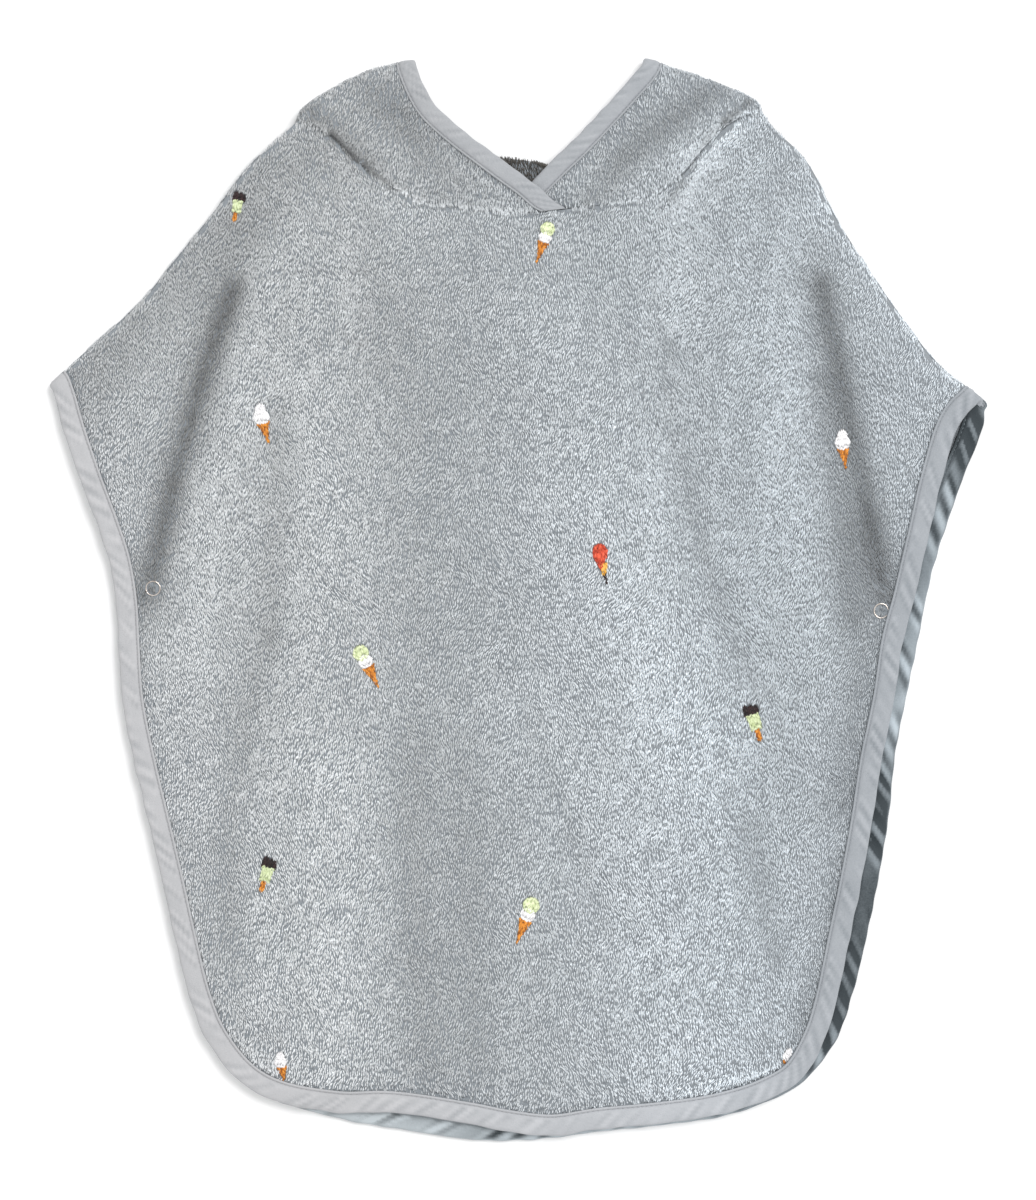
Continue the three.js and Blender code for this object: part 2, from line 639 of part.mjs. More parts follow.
// Hood half: wing, turn over the top fold and hidden layers, in one sheet
function hoodGrid(hood) {
  const sign = hood.side === "left" ? -1 : 1;
  const turnIn = hood.side === "left" ? 1 : -1;
  const openingCurve = curveThrough(hood.opening);
  const foldCurve = curveThrough(hood.fold);
  const seam = hood.side === "left"
    ? neckShares.slice(0, neckColumns.left + 2).map((share) => seamPlace(share))
    : [
        ...neckShares.slice(neckColumns.left + 2).reverse().map((share) => seamPlace(share)),
        ...tuckedEnd.map((row) => flat(row).setZ(row.height)),
      ];
  const last = seam.length - 1;
  const foldTop = (u) => mix(frontMiddle + padHeight, hood.foldHeight, soften(u / 0.5));
  const bottomMiddle = terry / 2;
  const turnRadius = (u) => (foldTop(u) - bottomMiddle) / 2;

  // Fold axis, set in from the fold seen from above by the radius of the turn
  const axisAt = (u) => {
    const here = station(foldCurve, u, sign);
    const inward = here.inward;
    const inset = turnRadius(u) + terry / 2;
    return { axis: here.point.clone().addScaledVector(inward, inset), outward: inward.clone().negate() };
  };
  const columnShare = Array.from({ length: last + 1 }, (_, i) => i / last);
  const foldLength = foldCurve.getLength();
  columnShare[last - 1] = 1 - (edgeInset + bandDepths[1]) / foldLength;
  columnShare[last - 2] = 1 - (edgeInset + bandDepths[2]) / foldLength;
  columnShare[last] = 1 - edgeInset / foldLength;
  for (let i = 0; i < last - 2; i++) columnShare[i] = columnShare[last - 2] * i / (last - 2);

  // Border of the wing: neck seam below, fold axis above, shoulder point and bound edge at the sides
  const grid = [];
  const topRow = columnShare.map((u) => {
    const { axis } = axisAt(u);
    return axis.setZ(foldTop(u));
  });
  const openingLength = openingCurve.getLength();
  const openingEnd = nearestShare(openingCurve, topRow[last]);
  const seamDirection = seam[last - 1].clone().sub(seam[last]).setZ(0);
  const firstNormal = station(openingCurve, 0, turnIn).inward;
  const slant = seamDirection.clone().divideScalar(bandDepths[1]).sub(firstNormal);
  const edgeColumn = (v, depth) => {
    const here = station(openingCurve, mix(0, openingEnd, v), turnIn);
    const inward = here.inward.clone().addScaledVector(slant, soften(1 - v / 0.3));
    return here.point.clone().addScaledVector(inward, edgeInset + depth);
  };
  const openingLevel = (v) => mix(hood.openingHeight, hood.foldHeight, soften((v - 0.3) / 0.6));
  for (let j = 0; j <= wingRows; j++) {
    const v = j / wingRows;
    const row = [];
    for (let i = 0; i <= last; i++) {
      let p;
      if (j === 0) p = seam[i].clone();
      else if (j === wingRows) p = topRow[i].clone();
      else if (i >= last - 2) {
        const share = (last - i) / 4;
        p = edgeColumn(v, bandDepths[last - i]);
        p.z = mix(openingLevel(v), mix(seam[i].z, topRow[i].z, v), share);
      } else {
        const u = i / (last - 2);
        const level = mix(seam[last - 2].z, topRow[last - 2].z, v);
        const inner = edgeColumn(v, bandDepths[2]).setZ(mix(openingLevel(v), level, 0.5));
        const outer = seam[0].clone().lerp(topRow[0], v);
        p = patchPoint(u, v, seam[i], topRow[i], outer, inner, [seam[0], seam[last - 2], topRow[0], topRow[last - 2]]);
        const inside = Math.sin(Math.PI * v) * soften(u * 3) * soften((1 - u) * 3);
        p.z += Math.max(wingPuff + foldRise(p.x, p.y, hoodFolds), 0) * inside;
      }
      const thin = i >= last - 1 ? boundEdge / 2 : terry / 2;
      row.push({ p, d: new THREE.Vector3(0, 0, 1), half: j === 0 ? Math.min(thin, seamHalves[0]) : thin });
    }
    grid.push(row);
  }

  // Turn over the fold
  for (let k = 1; k <= turnRows; k++) {
    const angle = Math.PI * k / turnRows;
    grid.push(columnShare.map((u, i) => {
      const { axis, outward } = axisAt(u);
      const edge = i >= last - 1;
      const low = edge ? bindingHalf : bottomMiddle;
      const radius = (foldTop(u) - low) / 2;
      const level = (foldTop(u) + low) / 2 + radius * Math.cos(angle);
      const p = axis.clone().addScaledVector(outward, turnRadius(u) * Math.sin(angle)).setZ(level);
      const d = outward.clone().multiplyScalar(Math.sin(angle)).setZ(Math.cos(angle)).normalize();
      return { p, d, half: edge ? boundEdge / 2 : terry / 2 };
    }));
  }

  // Hidden layers down the back
  const lowRow = grid.at(-1).map((cell) => cell.p.clone().setZ(0));
  const seamX = hoodMiddle + sign * seamGap / 2;
  const outerSide = curveThrough([lowRow[0], ...hiddenSide(sign), { x: hoodMiddle + sign * crownHalf, y: crown }]);
  const napeSide = curveThrough([lowRow[last], ...hood.nape, { x: seamX, y: napeTop }]);
  const hiddenShare = (k) => k <= thickening.length
    ? thickening[k - 1]
    : mix(thickening[1], 1, (k - thickening.length) / (hiddenRows - thickening.length));
  const napeShare = hiddenShare(napeRow);
  const innerSide = (v) => v < napeShare
    ? napeSide.getPointAt(v / napeShare)
    : new THREE.Vector3(seamX, mix(napeTop, crown, (v - napeShare) / (1 - napeShare)), 0);
  for (let k = 1; k <= hiddenRows; k++) {
    const v = hiddenShare(k);
    const middle = hoodLayers / 2;
    const grown = k === 1 ? 0.5 : 1;
    const row = [];
    for (let i = 0; i <= last; i++) {
      const u = i / last;
      const bottom = new THREE.Vector3(mix(hoodMiddle + sign * crownHalf, seamX, u), crown, 0);
      const p = patchPoint(u, v, lowRow[i], bottom, outerSide.getPointAt(v), innerSide(v),
        [lowRow[0], lowRow[last], outerSide.getPointAt(1), innerSide(1)]);
      const half = mix(bottomMiddle, middle, grown);
      const out = new THREE.Vector3();
      if (i === 0) out.set(sign, 0, 0);
      if (i === last && v < napeShare) out.set(0, 0.7, 0);
      if (k === hiddenRows) out.add(new THREE.Vector3(0, -1, 0));
      row.push({ p: p.setZ(half), d: new THREE.Vector3(0, 0, -1), half, out, round: 1.4 * grown });
    }
    grid.push(row);
  }
  return grid;
}

// Place on the neck seam, on the hood's side of it, as high as the front panel there
function seamPlace(share) {
  const here = station(neckCurve, share, -1);
  const own = here.point.clone().addScaledVector(here.inward, -seamGap / 2);
  const front = here.point.clone().addScaledVector(here.inward, seamDepths[0]);
  return own.setZ(layers.front.inner(front.x, front.y));
}

// Places along a hood half's bound edge, from the middle front over the fold
function openingPlaces(grid) {
  const last = grid[0].length - 1;
  return grid.slice(0, wingRows + turnRows).map((row) => ({
    p: row[last].p,
    d: row[last].d,
    inward: row[last - 1].p.clone().sub(row[last].p).setZ(0).divideScalar(bandDepths[1]),
  }));
}

// Press stud parts and the pockets that they press into the cloth
function disc(radius, bottom, top, sides = 20) {
  const profile = [[0, bottom], [radius, bottom], [radius, top], [0, top]].map(([r, z]) => new THREE.Vector2(r, z));
  return new THREE.LatheGeometry(profile, sides).rotateX(Math.PI / 2);
}

function ring(level) {
  const middle = (ringOuter - ringWire) / 2;
  const steps = 6;
  const profile = Array.from({ length: steps + 1 }, (_, k) => {
    const angle = 2 * Math.PI * k / steps;
    return new THREE.Vector2(middle + Math.cos(angle) * ringWire / 2, level + Math.sin(angle) * ringWire / 2);
  });
  return new THREE.LatheGeometry(profile, 16).rotateX(Math.PI / 2);
}

function weldedSolid(geometry) {
  const positions = [];
  const faces = [];
  const known = new Map();
  const source = geometry.getAttribute("position");
  const index = Array.from(geometry.getIndex().array, (k) => {
    const point = [source.getX(k), source.getY(k), source.getZ(k)];
    const key = point.map((value) => Math.round(value * 1e4)).join();
    if (!known.has(key)) known.set(key, positions.push(...point) / 3 - 1);
    return known.get(key);
  });
  for (let k = 0; k < index.length; k += 3) {
    const [a, b, c] = index.slice(k, k + 3);
    if (a !== b && b !== c && a !== c) faces.push(a, b, c);
  }
  return facingOut({ positions, faces });
}

const frontGrid = panelGrid(layers.front, frontEdge, frontRightTip, frontMesh, neckShares);
const backGrid = panelGrid(layers.back, backEdge, backRightTip, backMesh, backNeckShares);
const hoodGrids = hoods.map(hoodGrid);
const roundedRim = [
  { share: 0.55, out: 1 },
  { share: 0, out: 0.15 },
  { share: -0.55, out: 1 },
];

// Levels of the cloth's faces at a stud
const studLevels = ({ x, y }) => ({
  frontTop: layers.front.inner(x, y) + terry / 2,
  frontUnder: layers.front.inner(x, y) - terry / 2,
  backTop: layers.back.inner(x, y) + terry / 2,
});

function pressedIn(wall, pockets) {
  return pockets.reduce((solid, { x, y, radius, from, to }) =>
    solid.subtract(asManifold(weldedSolid(disc(radius, from, to).translate(x, y, 0)))), asManifold(wall));
}

const beyond = 8; // a pocket's tool reaches this far out of the cloth
const frontPockets = studs.flatMap((place) => {
  const { frontTop, frontUnder } = studLevels(place);
  return [
    { ...place, radius: ringOuter / 2 + pocketRoom, from: frontTop - frontRingSink, to: frontTop + beyond },
    { ...place, radius: claspDiameter / 2 + pocketRoom, from: frontUnder - beyond, to: frontUnder + claspSinkFront },
  ];
});
const backPockets = studs.flatMap((place) => {
  const { backTop } = studLevels(place);
  return [
    { ...place, radius: claspDiameter / 2 + pocketRoom, from: backTop - claspSinkBack, to: backTop + beyond },
    { ...place, radius: ringOuter / 2 + pocketRoom, from: -beyond, to: backRingSink },
  ];
});

const alongTop = (tip, neighbour) => flat(neighbour).sub(flat(tip)).normalize();
const frontPlaces = edgePlaces(frontGrid, alongTop(leftTip, leftShoulder[0]), alongTop(frontRightTip, rightShoulder[0]));
const backPlaces = edgePlaces(backGrid, alongTop(leftTip, leftShoulder[0]), alongTop(backRightTip, rightShoulder[0]));

const terryMaterial = new THREE.MeshStandardMaterial({ color: 0xb4babe, roughness: 1, metalness: 0 });
const bindingMaterial = new THREE.MeshStandardMaterial({ color: 0xc3c5c7, roughness: 0.8, metalness: 0 });
const studMaterial = new THREE.MeshStandardMaterial({ color: 0xc9ccce, roughness: 0.3, metalness: 1 });

const poncho = new THREE.Group();
function addPiece(name, geometry, material) {
  const mesh = new THREE.Mesh(geometry, material.clone());
  mesh.name = name;
  poncho.add(mesh);
}

addPiece("front_panel", fromManifold(pressedIn(facingOut(closedWall(frontGrid)), frontPockets)), terryMaterial);
addPiece("back_panel", fromManifold(pressedIn(facingOut(closedWall(backGrid)), backPockets)), terryMaterial);
addPiece("front_binding", asGeometry(sweptChannel(frontPlaces)), bindingMaterial);
addPiece("back_binding", asGeometry(sweptChannel(backPlaces)), bindingMaterial);
hoods.forEach(({ side }, k) => {
  addPiece(`hood_${side}`, asGeometry(facingOut(closedWall(hoodGrids[k], roundedRim))), terryMaterial);
  addPiece(`hood_binding_${side}`, asGeometry(sweptChannel(openingPlaces(hoodGrids[k]))), bindingMaterial);
});
studs.forEach((place) => {
  const { frontTop, frontUnder, backTop } = studLevels(place);
  const seat = (shape) => asGeometry(weldedSolid(shape.translate(place.x, place.y, 0)));
  const frontLevel = frontTop - frontRingSink + seamGap + ringWire / 2;
  const backLevel = backRingSink - seamGap - ringWire / 2;
  const claspBottom = backTop - claspSinkBack + seamGap;
  const claspTop = frontUnder + claspSinkFront - seamGap;
  addPiece(`stud_${place.side}_front_ring`, seat(ring(frontLevel)), studMaterial);
  addPiece(`stud_${place.side}_clasp`, seat(disc(claspDiameter / 2, claspBottom, claspTop)), studMaterial);
  addPiece(`stud_${place.side}_back_ring`, seat(ring(backLevel)), studMaterial);
});

// Bring the origin under the middle of the garment's box
const box = new THREE.Box3().setFromObject(poncho);
poncho.position.set(-(box.min.x + box.max.x) / 2, -(box.min.y + box.max.y) / 2, -box.min.z);

export default poncho;
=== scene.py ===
import bpy
import numpy as np
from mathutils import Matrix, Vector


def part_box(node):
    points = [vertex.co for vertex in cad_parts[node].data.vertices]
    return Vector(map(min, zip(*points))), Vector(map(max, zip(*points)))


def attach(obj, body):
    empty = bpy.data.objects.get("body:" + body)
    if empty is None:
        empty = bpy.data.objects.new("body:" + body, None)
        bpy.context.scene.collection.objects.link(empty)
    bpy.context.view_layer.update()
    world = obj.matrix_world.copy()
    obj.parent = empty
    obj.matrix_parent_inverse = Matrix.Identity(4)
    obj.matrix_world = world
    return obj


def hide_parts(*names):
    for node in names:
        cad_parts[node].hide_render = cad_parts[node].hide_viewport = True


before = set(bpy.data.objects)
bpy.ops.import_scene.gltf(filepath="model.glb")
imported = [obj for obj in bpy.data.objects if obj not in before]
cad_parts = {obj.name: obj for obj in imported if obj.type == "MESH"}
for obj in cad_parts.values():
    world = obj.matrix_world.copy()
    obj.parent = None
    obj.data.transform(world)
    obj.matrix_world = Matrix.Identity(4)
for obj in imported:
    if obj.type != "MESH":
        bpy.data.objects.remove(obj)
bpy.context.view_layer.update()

# Front panel: towelling cut in one with its short sleeves, laid face up over the back panel and folded hood.
# Its edge is pressed flat inside a binding, its shoulders turn down to the back, and it lies in soft folds.
# Tables are in millimetres on the garment: x across from its middle, y from hem to hood.
terry = 3.2
pile_depth = 0.8  # part of the towelling's thickness that is loops, built on top of the ground cloth
bound_edge = 2.0  # towelling pressed flat inside its binding
edge_inset = 1.9  # how far the pressed edge stays inside the binding's fold
pressing = (0, 10, 13)  # pressed edge, end of the pressing, full towelling
seam_gap = 0.3
# Heights of the middle of each panel's cloth where nothing lies under the garment
middles = {"front": {"inner": 5.4, "edge": 7.15}, "back": {"inner": 1.6, "edge": 2.25}}
pad_height = 7.2  # how far the folded hood lifts both panels
drape_reach = 130  # how far beyond the hood they take to come down again

# Height on the garment, then the left edge, the front's right edge and the back's right edge
side_rows = (
    (107.5, -275, 266.5, 281),
    (71.5, -263, 254.5, 267.5),
    (47.5, -254, 249, 259),
    (23.5, -246, 243.5, 251.5),
    (-0.5, -242, 238, 245.5),
    (-24.5, -240.5, 231.5, 241),
    (-60.5, -238, 226, 233.5),
    (-96.5, -231, 218.5, 227),
    (-132.5, -222.5, 213, 223),
    (-168.5, -214, 206.5, 217),
    (-204.5, -206, 199, 210),
    (-240.5, -197, 191.5, 200.5),
    (-264.5, -187, 184, 192),
)
# Place across, then the front's hem and the back's hem
hem_rows = (
    (-168, -288.5, -288.5),
    (-147.5, -300.5, -301),
    (-107.5, -308, -312.5),
    (-77, -308, -318),
    (-29, -315, -325),
    (-8.5, -319, -325.8),
    (21, -322, -324),
    (49, -318, -320.5),
    (85, -314.5, -316.5),
    (121, -309, -311.5),
    (150, -300, -302.5),
    (170, -288, -292),
)
left_tip = (-281, 131)
front_right_tip = (280, 121)
left_shoulder = ((-254, 155.5), (-227.5, 179.5), (-207.5, 203.5), (-184, 232), (-161.5, 261), (-140.5, 280))
right_shoulder = (
    (252, 143.5), (224.5, 179.5), (208, 203.5), (190, 232), (180.5, 251.5), (171.5, 266), (155, 282),
)
neck_rows = (
    (-133.5, 286.5), (-111, 277), (-88, 256), (-62, 240.5), (-29, 234.5), (8, 232), (26.5, 234),
    (55, 237), (82, 242.5), (98, 254), (116, 276), (131, 288), (146, 293.5),
)
# Start, a point on the way, end, half width and rise of each soft fold
fold_rows = (
    (-163, 228, -196, 115, -227, -12, 10.2, -3.6),
    (-206, 161.5, -236, 89.5, -233, 23.5, 15, 1.2),
    (-153.5, 203.5, -171.5, 101.5, -183.5, 5.5, 9.6, 1.6),
    (-141, 101.5, -150, -12.5, -168, -210.5, 10.8, -1.6),
    (-110, 215.5, -116, -12.5, -104, -252.5, 27, 2.2),
    (-11, 209.5, -41, -30.5, -53, -288.5, 30, -1.8),
    (-51.5, -84.5, -56, -180.5, -47, -276.5, 13.2, -1.4),
    (-8, -114.5, -29, -210.5, -20, -306.5, 9.5, -1.6),
    (16, 161.5, 73, 23.5, 112, -276.5, 27, 3),
    (96, 149.5, 109, 47.5, 136, -36.5, 9, -1.6),
    (10, -72.5, 34, -156.5, 76, -222.5, 9, -1.3),
    (169, 59.5, 181, -24.5, 190, -90.5, 10.8, 1.6),
    (182.5, 209.5, 193, 107.5, 218, 17.5, 11.4, -3.6),
    (214, -20, 204, -60.5, 198, -120.5, 9, -2),
    (144, -114.5, 150, -162.5, 157, -204.5, 9, -1.6),
    (157, 179.5, 166, 107.5, 169, 59.5, 13.2, 1.2),
)
# The same for the small creases that only the dressed cloth has
crease_rows = (
    (-128, -240, -118, -262, -108, -282, 4.5, -0.8),
    (-104, -246, -96, -264, -84, -284, 4.5, -0.8),
    (-84, -238, -74, -262, -60, -284, 5, -0.7),
    (182, -152, 176, -196, 168, -232, 7, 1.0),
    (196, -148, 190, -178, 184, -206, 6, -0.9),
    (176, -228, 172, -250, 166, -270, 5, -0.9),
    (-30, 228, -24, 214, -22, 196, 5, -0.5),
    (40, 230, 42, 214, 48, 196, 6, -0.5),
    (70, -232, 84, -262, 92, -290, 6, -0.7),
    (-178, -150, -172, -190, -164, -226, 6, -0.7),
    (-70, 150, -66, 60, -70, -20, 12, -0.5),
    (60, -30, 74, -90, 82, -150, 8, -0.6),
    (-196, -20, -192, -70, -184, -120, 9, 0.8),
    (150, 40, 156, -10, 168, -60, 7, -0.6),
    (-110, 278, -95, 261.5, -77, 248.5, 2.8, -1.5),
    (134, 292, 113, 274.5, 101, 256, 3.2, -1.1),
    (101, 256, 96, 249, 92, 241, 4, -0.4),
)
puff = 2.4  # how far the front lies clear of the back in the open
most_puff = 5
loft, fold_lift = 1.5, 1.4  # how much more the dressed cloth stands up, and how much more its folds do
back_share = 0.65  # part of the front's rise that the back follows, beyond what it lets go
back_stays_down = 2.5
stud_clear, stud_reach = 8, 34  # round each stud: cloth held down, and cloth that rises from it
edge_clear, edge_reach, edge_share = 13, 30, 0.6
shoulder_reach = 45
front_columns = {"shoulder": 26, "neck": 66}
front_rows = 112
bends = np.radians((90, 74, 58, 42, 28, 14, 0))
bend_inset = {"edge": 4.6, "inner": 3.5}
seam_depths = np.linspace(0.15, 3.7, len(bends))
cuff_turn = 9
hem_corner = 0.365  # share of the bound edge at which each side passes into the hem

stud_places = np.array(((-219.5, 7), (218.5, -6.5)))
clasp_low, clasp_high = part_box("stud_right_clasp")
clasp_middle = (clasp_low + clasp_high) * 500
to_frame = np.array((clasp_middle.x - stud_places[1, 0], clasp_middle.y - stud_places[1, 1], 0))


def ease(share):
    share = np.clip(share, 0, 1)
    return share * share * (3 - 2 * share)


def blend(a, b, share):
    return a + (b - a) * share


def unit(arrows):
    return arrows / np.maximum(np.linalg.norm(arrows, axis=-1, keepdims=True), 1e-9)


class SewnLine:
    """A smooth line through a table's points, read by share of its length."""

    def __init__(self, table):
        knots = np.array([row[:2] for row in table], float)
        knots = np.vstack([2 * knots[0] - knots[1], knots, 2 * knots[-1] - knots[-2]])
        reach = np.sqrt(np.linalg.norm(np.diff(knots, axis=0), axis=1))
        share = np.linspace(0, 1, 24, endpoint=False)[:, None]
        runs = []
        for k in range(1, len(knots) - 2):
            before, start, end, after = knots[k - 1:k + 3]
            first, here, last = reach[k - 1:k + 2]
            chord = (end - start) / here
            leave = here * ((start - before) / first - (end - before) / (first + here) + chord)
            arrive = here * (chord - (after - start) / (here + last) + (after - end) / last)
            bend = 3 * (end - start) - 2 * leave - arrive
            turn = 2 * (start - end) + leave + arrive
            runs.append(start + leave * share + bend * share ** 2 + turn * share ** 3)
        self.points = np.vstack([*runs, knots[-2:-1]])
        self.run = np.concatenate([[0], np.cumsum(np.linalg.norm(np.diff(self.points, axis=0), axis=1))])
        self.length = self.run[-1]

    def at(self, share):
        place = np.clip(share, 0, 1) * self.length
        return np.stack([np.interp(place, self.run, self.points[:, k]) for k in (0, 1)], -1)

    def along(self, share):
        near = 0.6 / self.length
        return unit(self.at(np.minimum(share + near, 1)) - self.at(np.maximum(share - near, 0)))

    def inward(self, share, turn):
        along = self.along(share)
        return np.stack([-along[..., 1] * turn, along[..., 0] * turn], -1)


def distance(places, line):
    """How far each place is from a line of points, seen from above."""
    flat = places[..., :2].reshape(-1, 2)
    best = np.full(len(flat), np.inf)
    for start, end in zip(line[:-1], line[1:]):
        span = end - start
        share = np.clip((flat - start) @ span / max(span @ span, 1e-9), 0, 1)
        best = np.minimum(best, np.linalg.norm(flat - start - share[:, None] * span, axis=1))
    return best.reshape(places.shape[:-1])


def inside(places, loop):
    """Which places lie inside a closed loop of points, seen from above."""
    x, y = places[..., 0], places[..., 1]
    found = np.zeros(x.shape, bool)
    for a, b in zip(loop, np.roll(loop, 1, axis=0)):
        if a[1] == b[1]:
            continue
        crosses = (a[1] > y) != (b[1] > y)
        found ^= crosses & (x < (b[0] - a[0]) * (y - a[1]) / (b[1] - a[1]) + a[0])
    return found


def fold_rise(places, rows):
    """Height of soft troughs and ridges, each bell-shaped across its bent line."""
    rise = np.zeros(places.shape[:-1])
    share = np.linspace(0, 1, 15)[:, None]
    widths_out = 3  # beyond so many half widths nothing is raised
    for x0, y0, xm, ym, x1, y1, width, height in rows:
        start, end = np.array((x0, y0)), np.array((x1, y1))
        pull = 2 * np.array((xm, ym)) - (start + end) / 2
        line = start * (1 - share) ** 2 + 2 * pull * share * (1 - share) + end * share ** 2
        off = distance(places, line) / width
        rise += height * np.exp(-off * off / 2) * (off < widths_out)
    return rise


def drift(places, wavelength, seed):
    """Smooth uneven waves over the cloth, about as often up as down."""
    waves = 7
    draw = np.random.default_rng(seed)
    total = np.zeros(places.shape[:-1])
    for _ in range(waves):
        heading, start = draw.uniform(0, 2 * np.pi, 2)
        pace = 2 * np.pi / (wavelength * draw.uniform(0.7, 1.5))
        onward = places[..., 0] * np.cos(heading) + places[..., 1] * np.sin(heading)
        total += np.sin(onward * pace + start)
    return total / np.sqrt(waves / 2)


def bound_outline(right_column, hem_column, right_tip):
    left = [(row[1], row[0]) for row in side_rows]
    hem = [(row[0], row[hem_column]) for row in hem_rows]
    right = [(row[right_column], row[0]) for row in reversed(side_rows)]
    return SewnLine([left_tip, *left, *hem, *right, right_tip])


front_edge = bound_outline(2, 1, front_right_tip)
neck_line = SewnLine(neck_rows)
edge_points = front_edge.at(np.linspace(0, 1, 161))
shoulder_lines = [
    np.array([left_tip, *left_shoulder, neck_rows[0]], float),
    np.array([front_right_tip, *right_shoulder, neck_rows[-1]], float),
]

# Outline of the folded hood, which lifts both panels. Each half has its bound edge, from the middle front to
# its peak, its fold, from the shoulder to the peak, and its nape, from the peak to the seam at the back.
hood_rows = {
    "left": {
        "opening": ((26.5, 235.2), (8, 251), (-11, 265), (-39, 287), (-51, 299), (-57, 310), (-61, 320)),
        "fold": ((-133.5, 289), (-130, 296), (-119, 304), (-101.5, 314), (-85, 320.5), (-62, 325)),
        "nape": ((-52, 286), (-41, 275), (-23, 265.5), (-9, 265.5), (3, 265)),
        "opening_height": 14.1,
    },
    "right": {
        "opening": ((4, 247), (21, 264.5), (33.5, 276.5), (49, 293), (64, 309.5), (74.5, 321)),
        "fold": ((147, 293.8), (145, 299), (138, 304), (126, 309), (110, 315.5), (92, 321), (76, 326)),
        "nape": ((62, 287), (48, 273), (28, 260), (15, 261), (11, 262.5)),
        "opening_height": 9.3,
    },
}
hood_middle = 7
hood_sides = ((240, 127), (180, 117), (120, 93), (84, 62))  # height down the back, and reach from the seam
crown, crown_half = 60, 22  # lowest point of the hidden layers, and half the width of that blunt end


def hidden_side(sign):
    return [(hood_middle + sign * out, y) for y, out in hood_sides]


hood_loop = np.array([
    *hood_rows["left"]["fold"],
    *hood_rows["left"]["nape"],
    *reversed(hood_rows["right"]["nape"]),
    *reversed(hood_rows["right"]["fold"]),
    *hidden_side(1),
    (hood_middle + crown_half, crown),
    (hood_middle - crown_half, crown),
    *reversed(hidden_side(-1)),
], float)


def pad(places):
    outside = 1 - ease(distance(places, np.vstack([hood_loop, hood_loop[:1]])) / drape_reach)
    return pad_height * np.where(inside(places, hood_loop), 1, outside)


def clearance(places, creases=()):
    """How far the front is clear of the back: nothing at shoulder folds and studs, and less at the edges."""
    shoulder = np.minimum(*[distance(places, line) for line in shoulder_lines])
    stud = np.min([np.linalg.norm(places[..., :2] - place, axis=-1) for place in stud_places], axis=0)
    edge = distance(places, edge_points)
    free = ease(shoulder / shoulder_reach) * ease((stud - stud_clear) / stud_reach)
    folds = fold_rise(places, fold_rows)
    from_edge = blend(edge_share, 1, ease((edge - edge_clear) / edge_reach))
    large = free * from_edge * np.clip(puff + folds, 0, most_puff)
    if not creases:
        return large
    # The dressed cloth keeps off the back without a hard stop
    dressed = large + free * ease((edge - 6) / edge_reach) * (loft + fold_lift * folds)
    dressed = (dressed + np.sqrt(dressed ** 2 + 0.2)) / 2
    return dressed + ease(shoulder / 14) * ease((stud - 6) / 10) * fold_rise(places, creases)


def level(layer, zone, places):
    """Height of the middle of a panel."""
    if layer == "front":
        risen = clearance(places, crease_rows)
    else:
        risen = back_share * np.maximum(clearance(places) - back_stays_down, 0)
    return middles[layer][zone] + pad(places) + risen


def bent(axis, outward, angle, layer, zone):
    """Places on the quarter turn at a shoulder fold, and the directions that they face."""
    own = level(layer, zone, axis)
    other = level("back" if layer == "front" else "front", zone, axis)
    meet = (own + other) / 2
    radius = np.abs(own - meet) - seam_gap / 2
    up = 1 if layer == "front" else -1
    height = meet + up * (seam_gap / 2 + radius * np.cos(angle))
    place = axis + outward * (radius * np.sin(angle))[..., None]
    sideways = outward * np.sin(angle)[..., None]
    facing = unit(np.concatenate([sideways, (up * np.cos(angle))[..., None]], -1))
    return np.concatenate([place, height[..., None]], -1), facing


def patch(u, v, top, bottom, left, right):
    """Places between four border lines; u runs along the top and v down the left."""
    u, v = u[None, :, None], v[:, None, None]
    across = left[:, None] * (1 - u) + right[:, None] * u
    down = top[None] * (1 - v) + bottom[None] * v
    corners = top[0] * (1 - u) * (1 - v) + top[-1] * u * (1 - v)
    corners = corners + bottom[0] * (1 - u) * v + bottom[-1] * u * v
    return across + down - corners


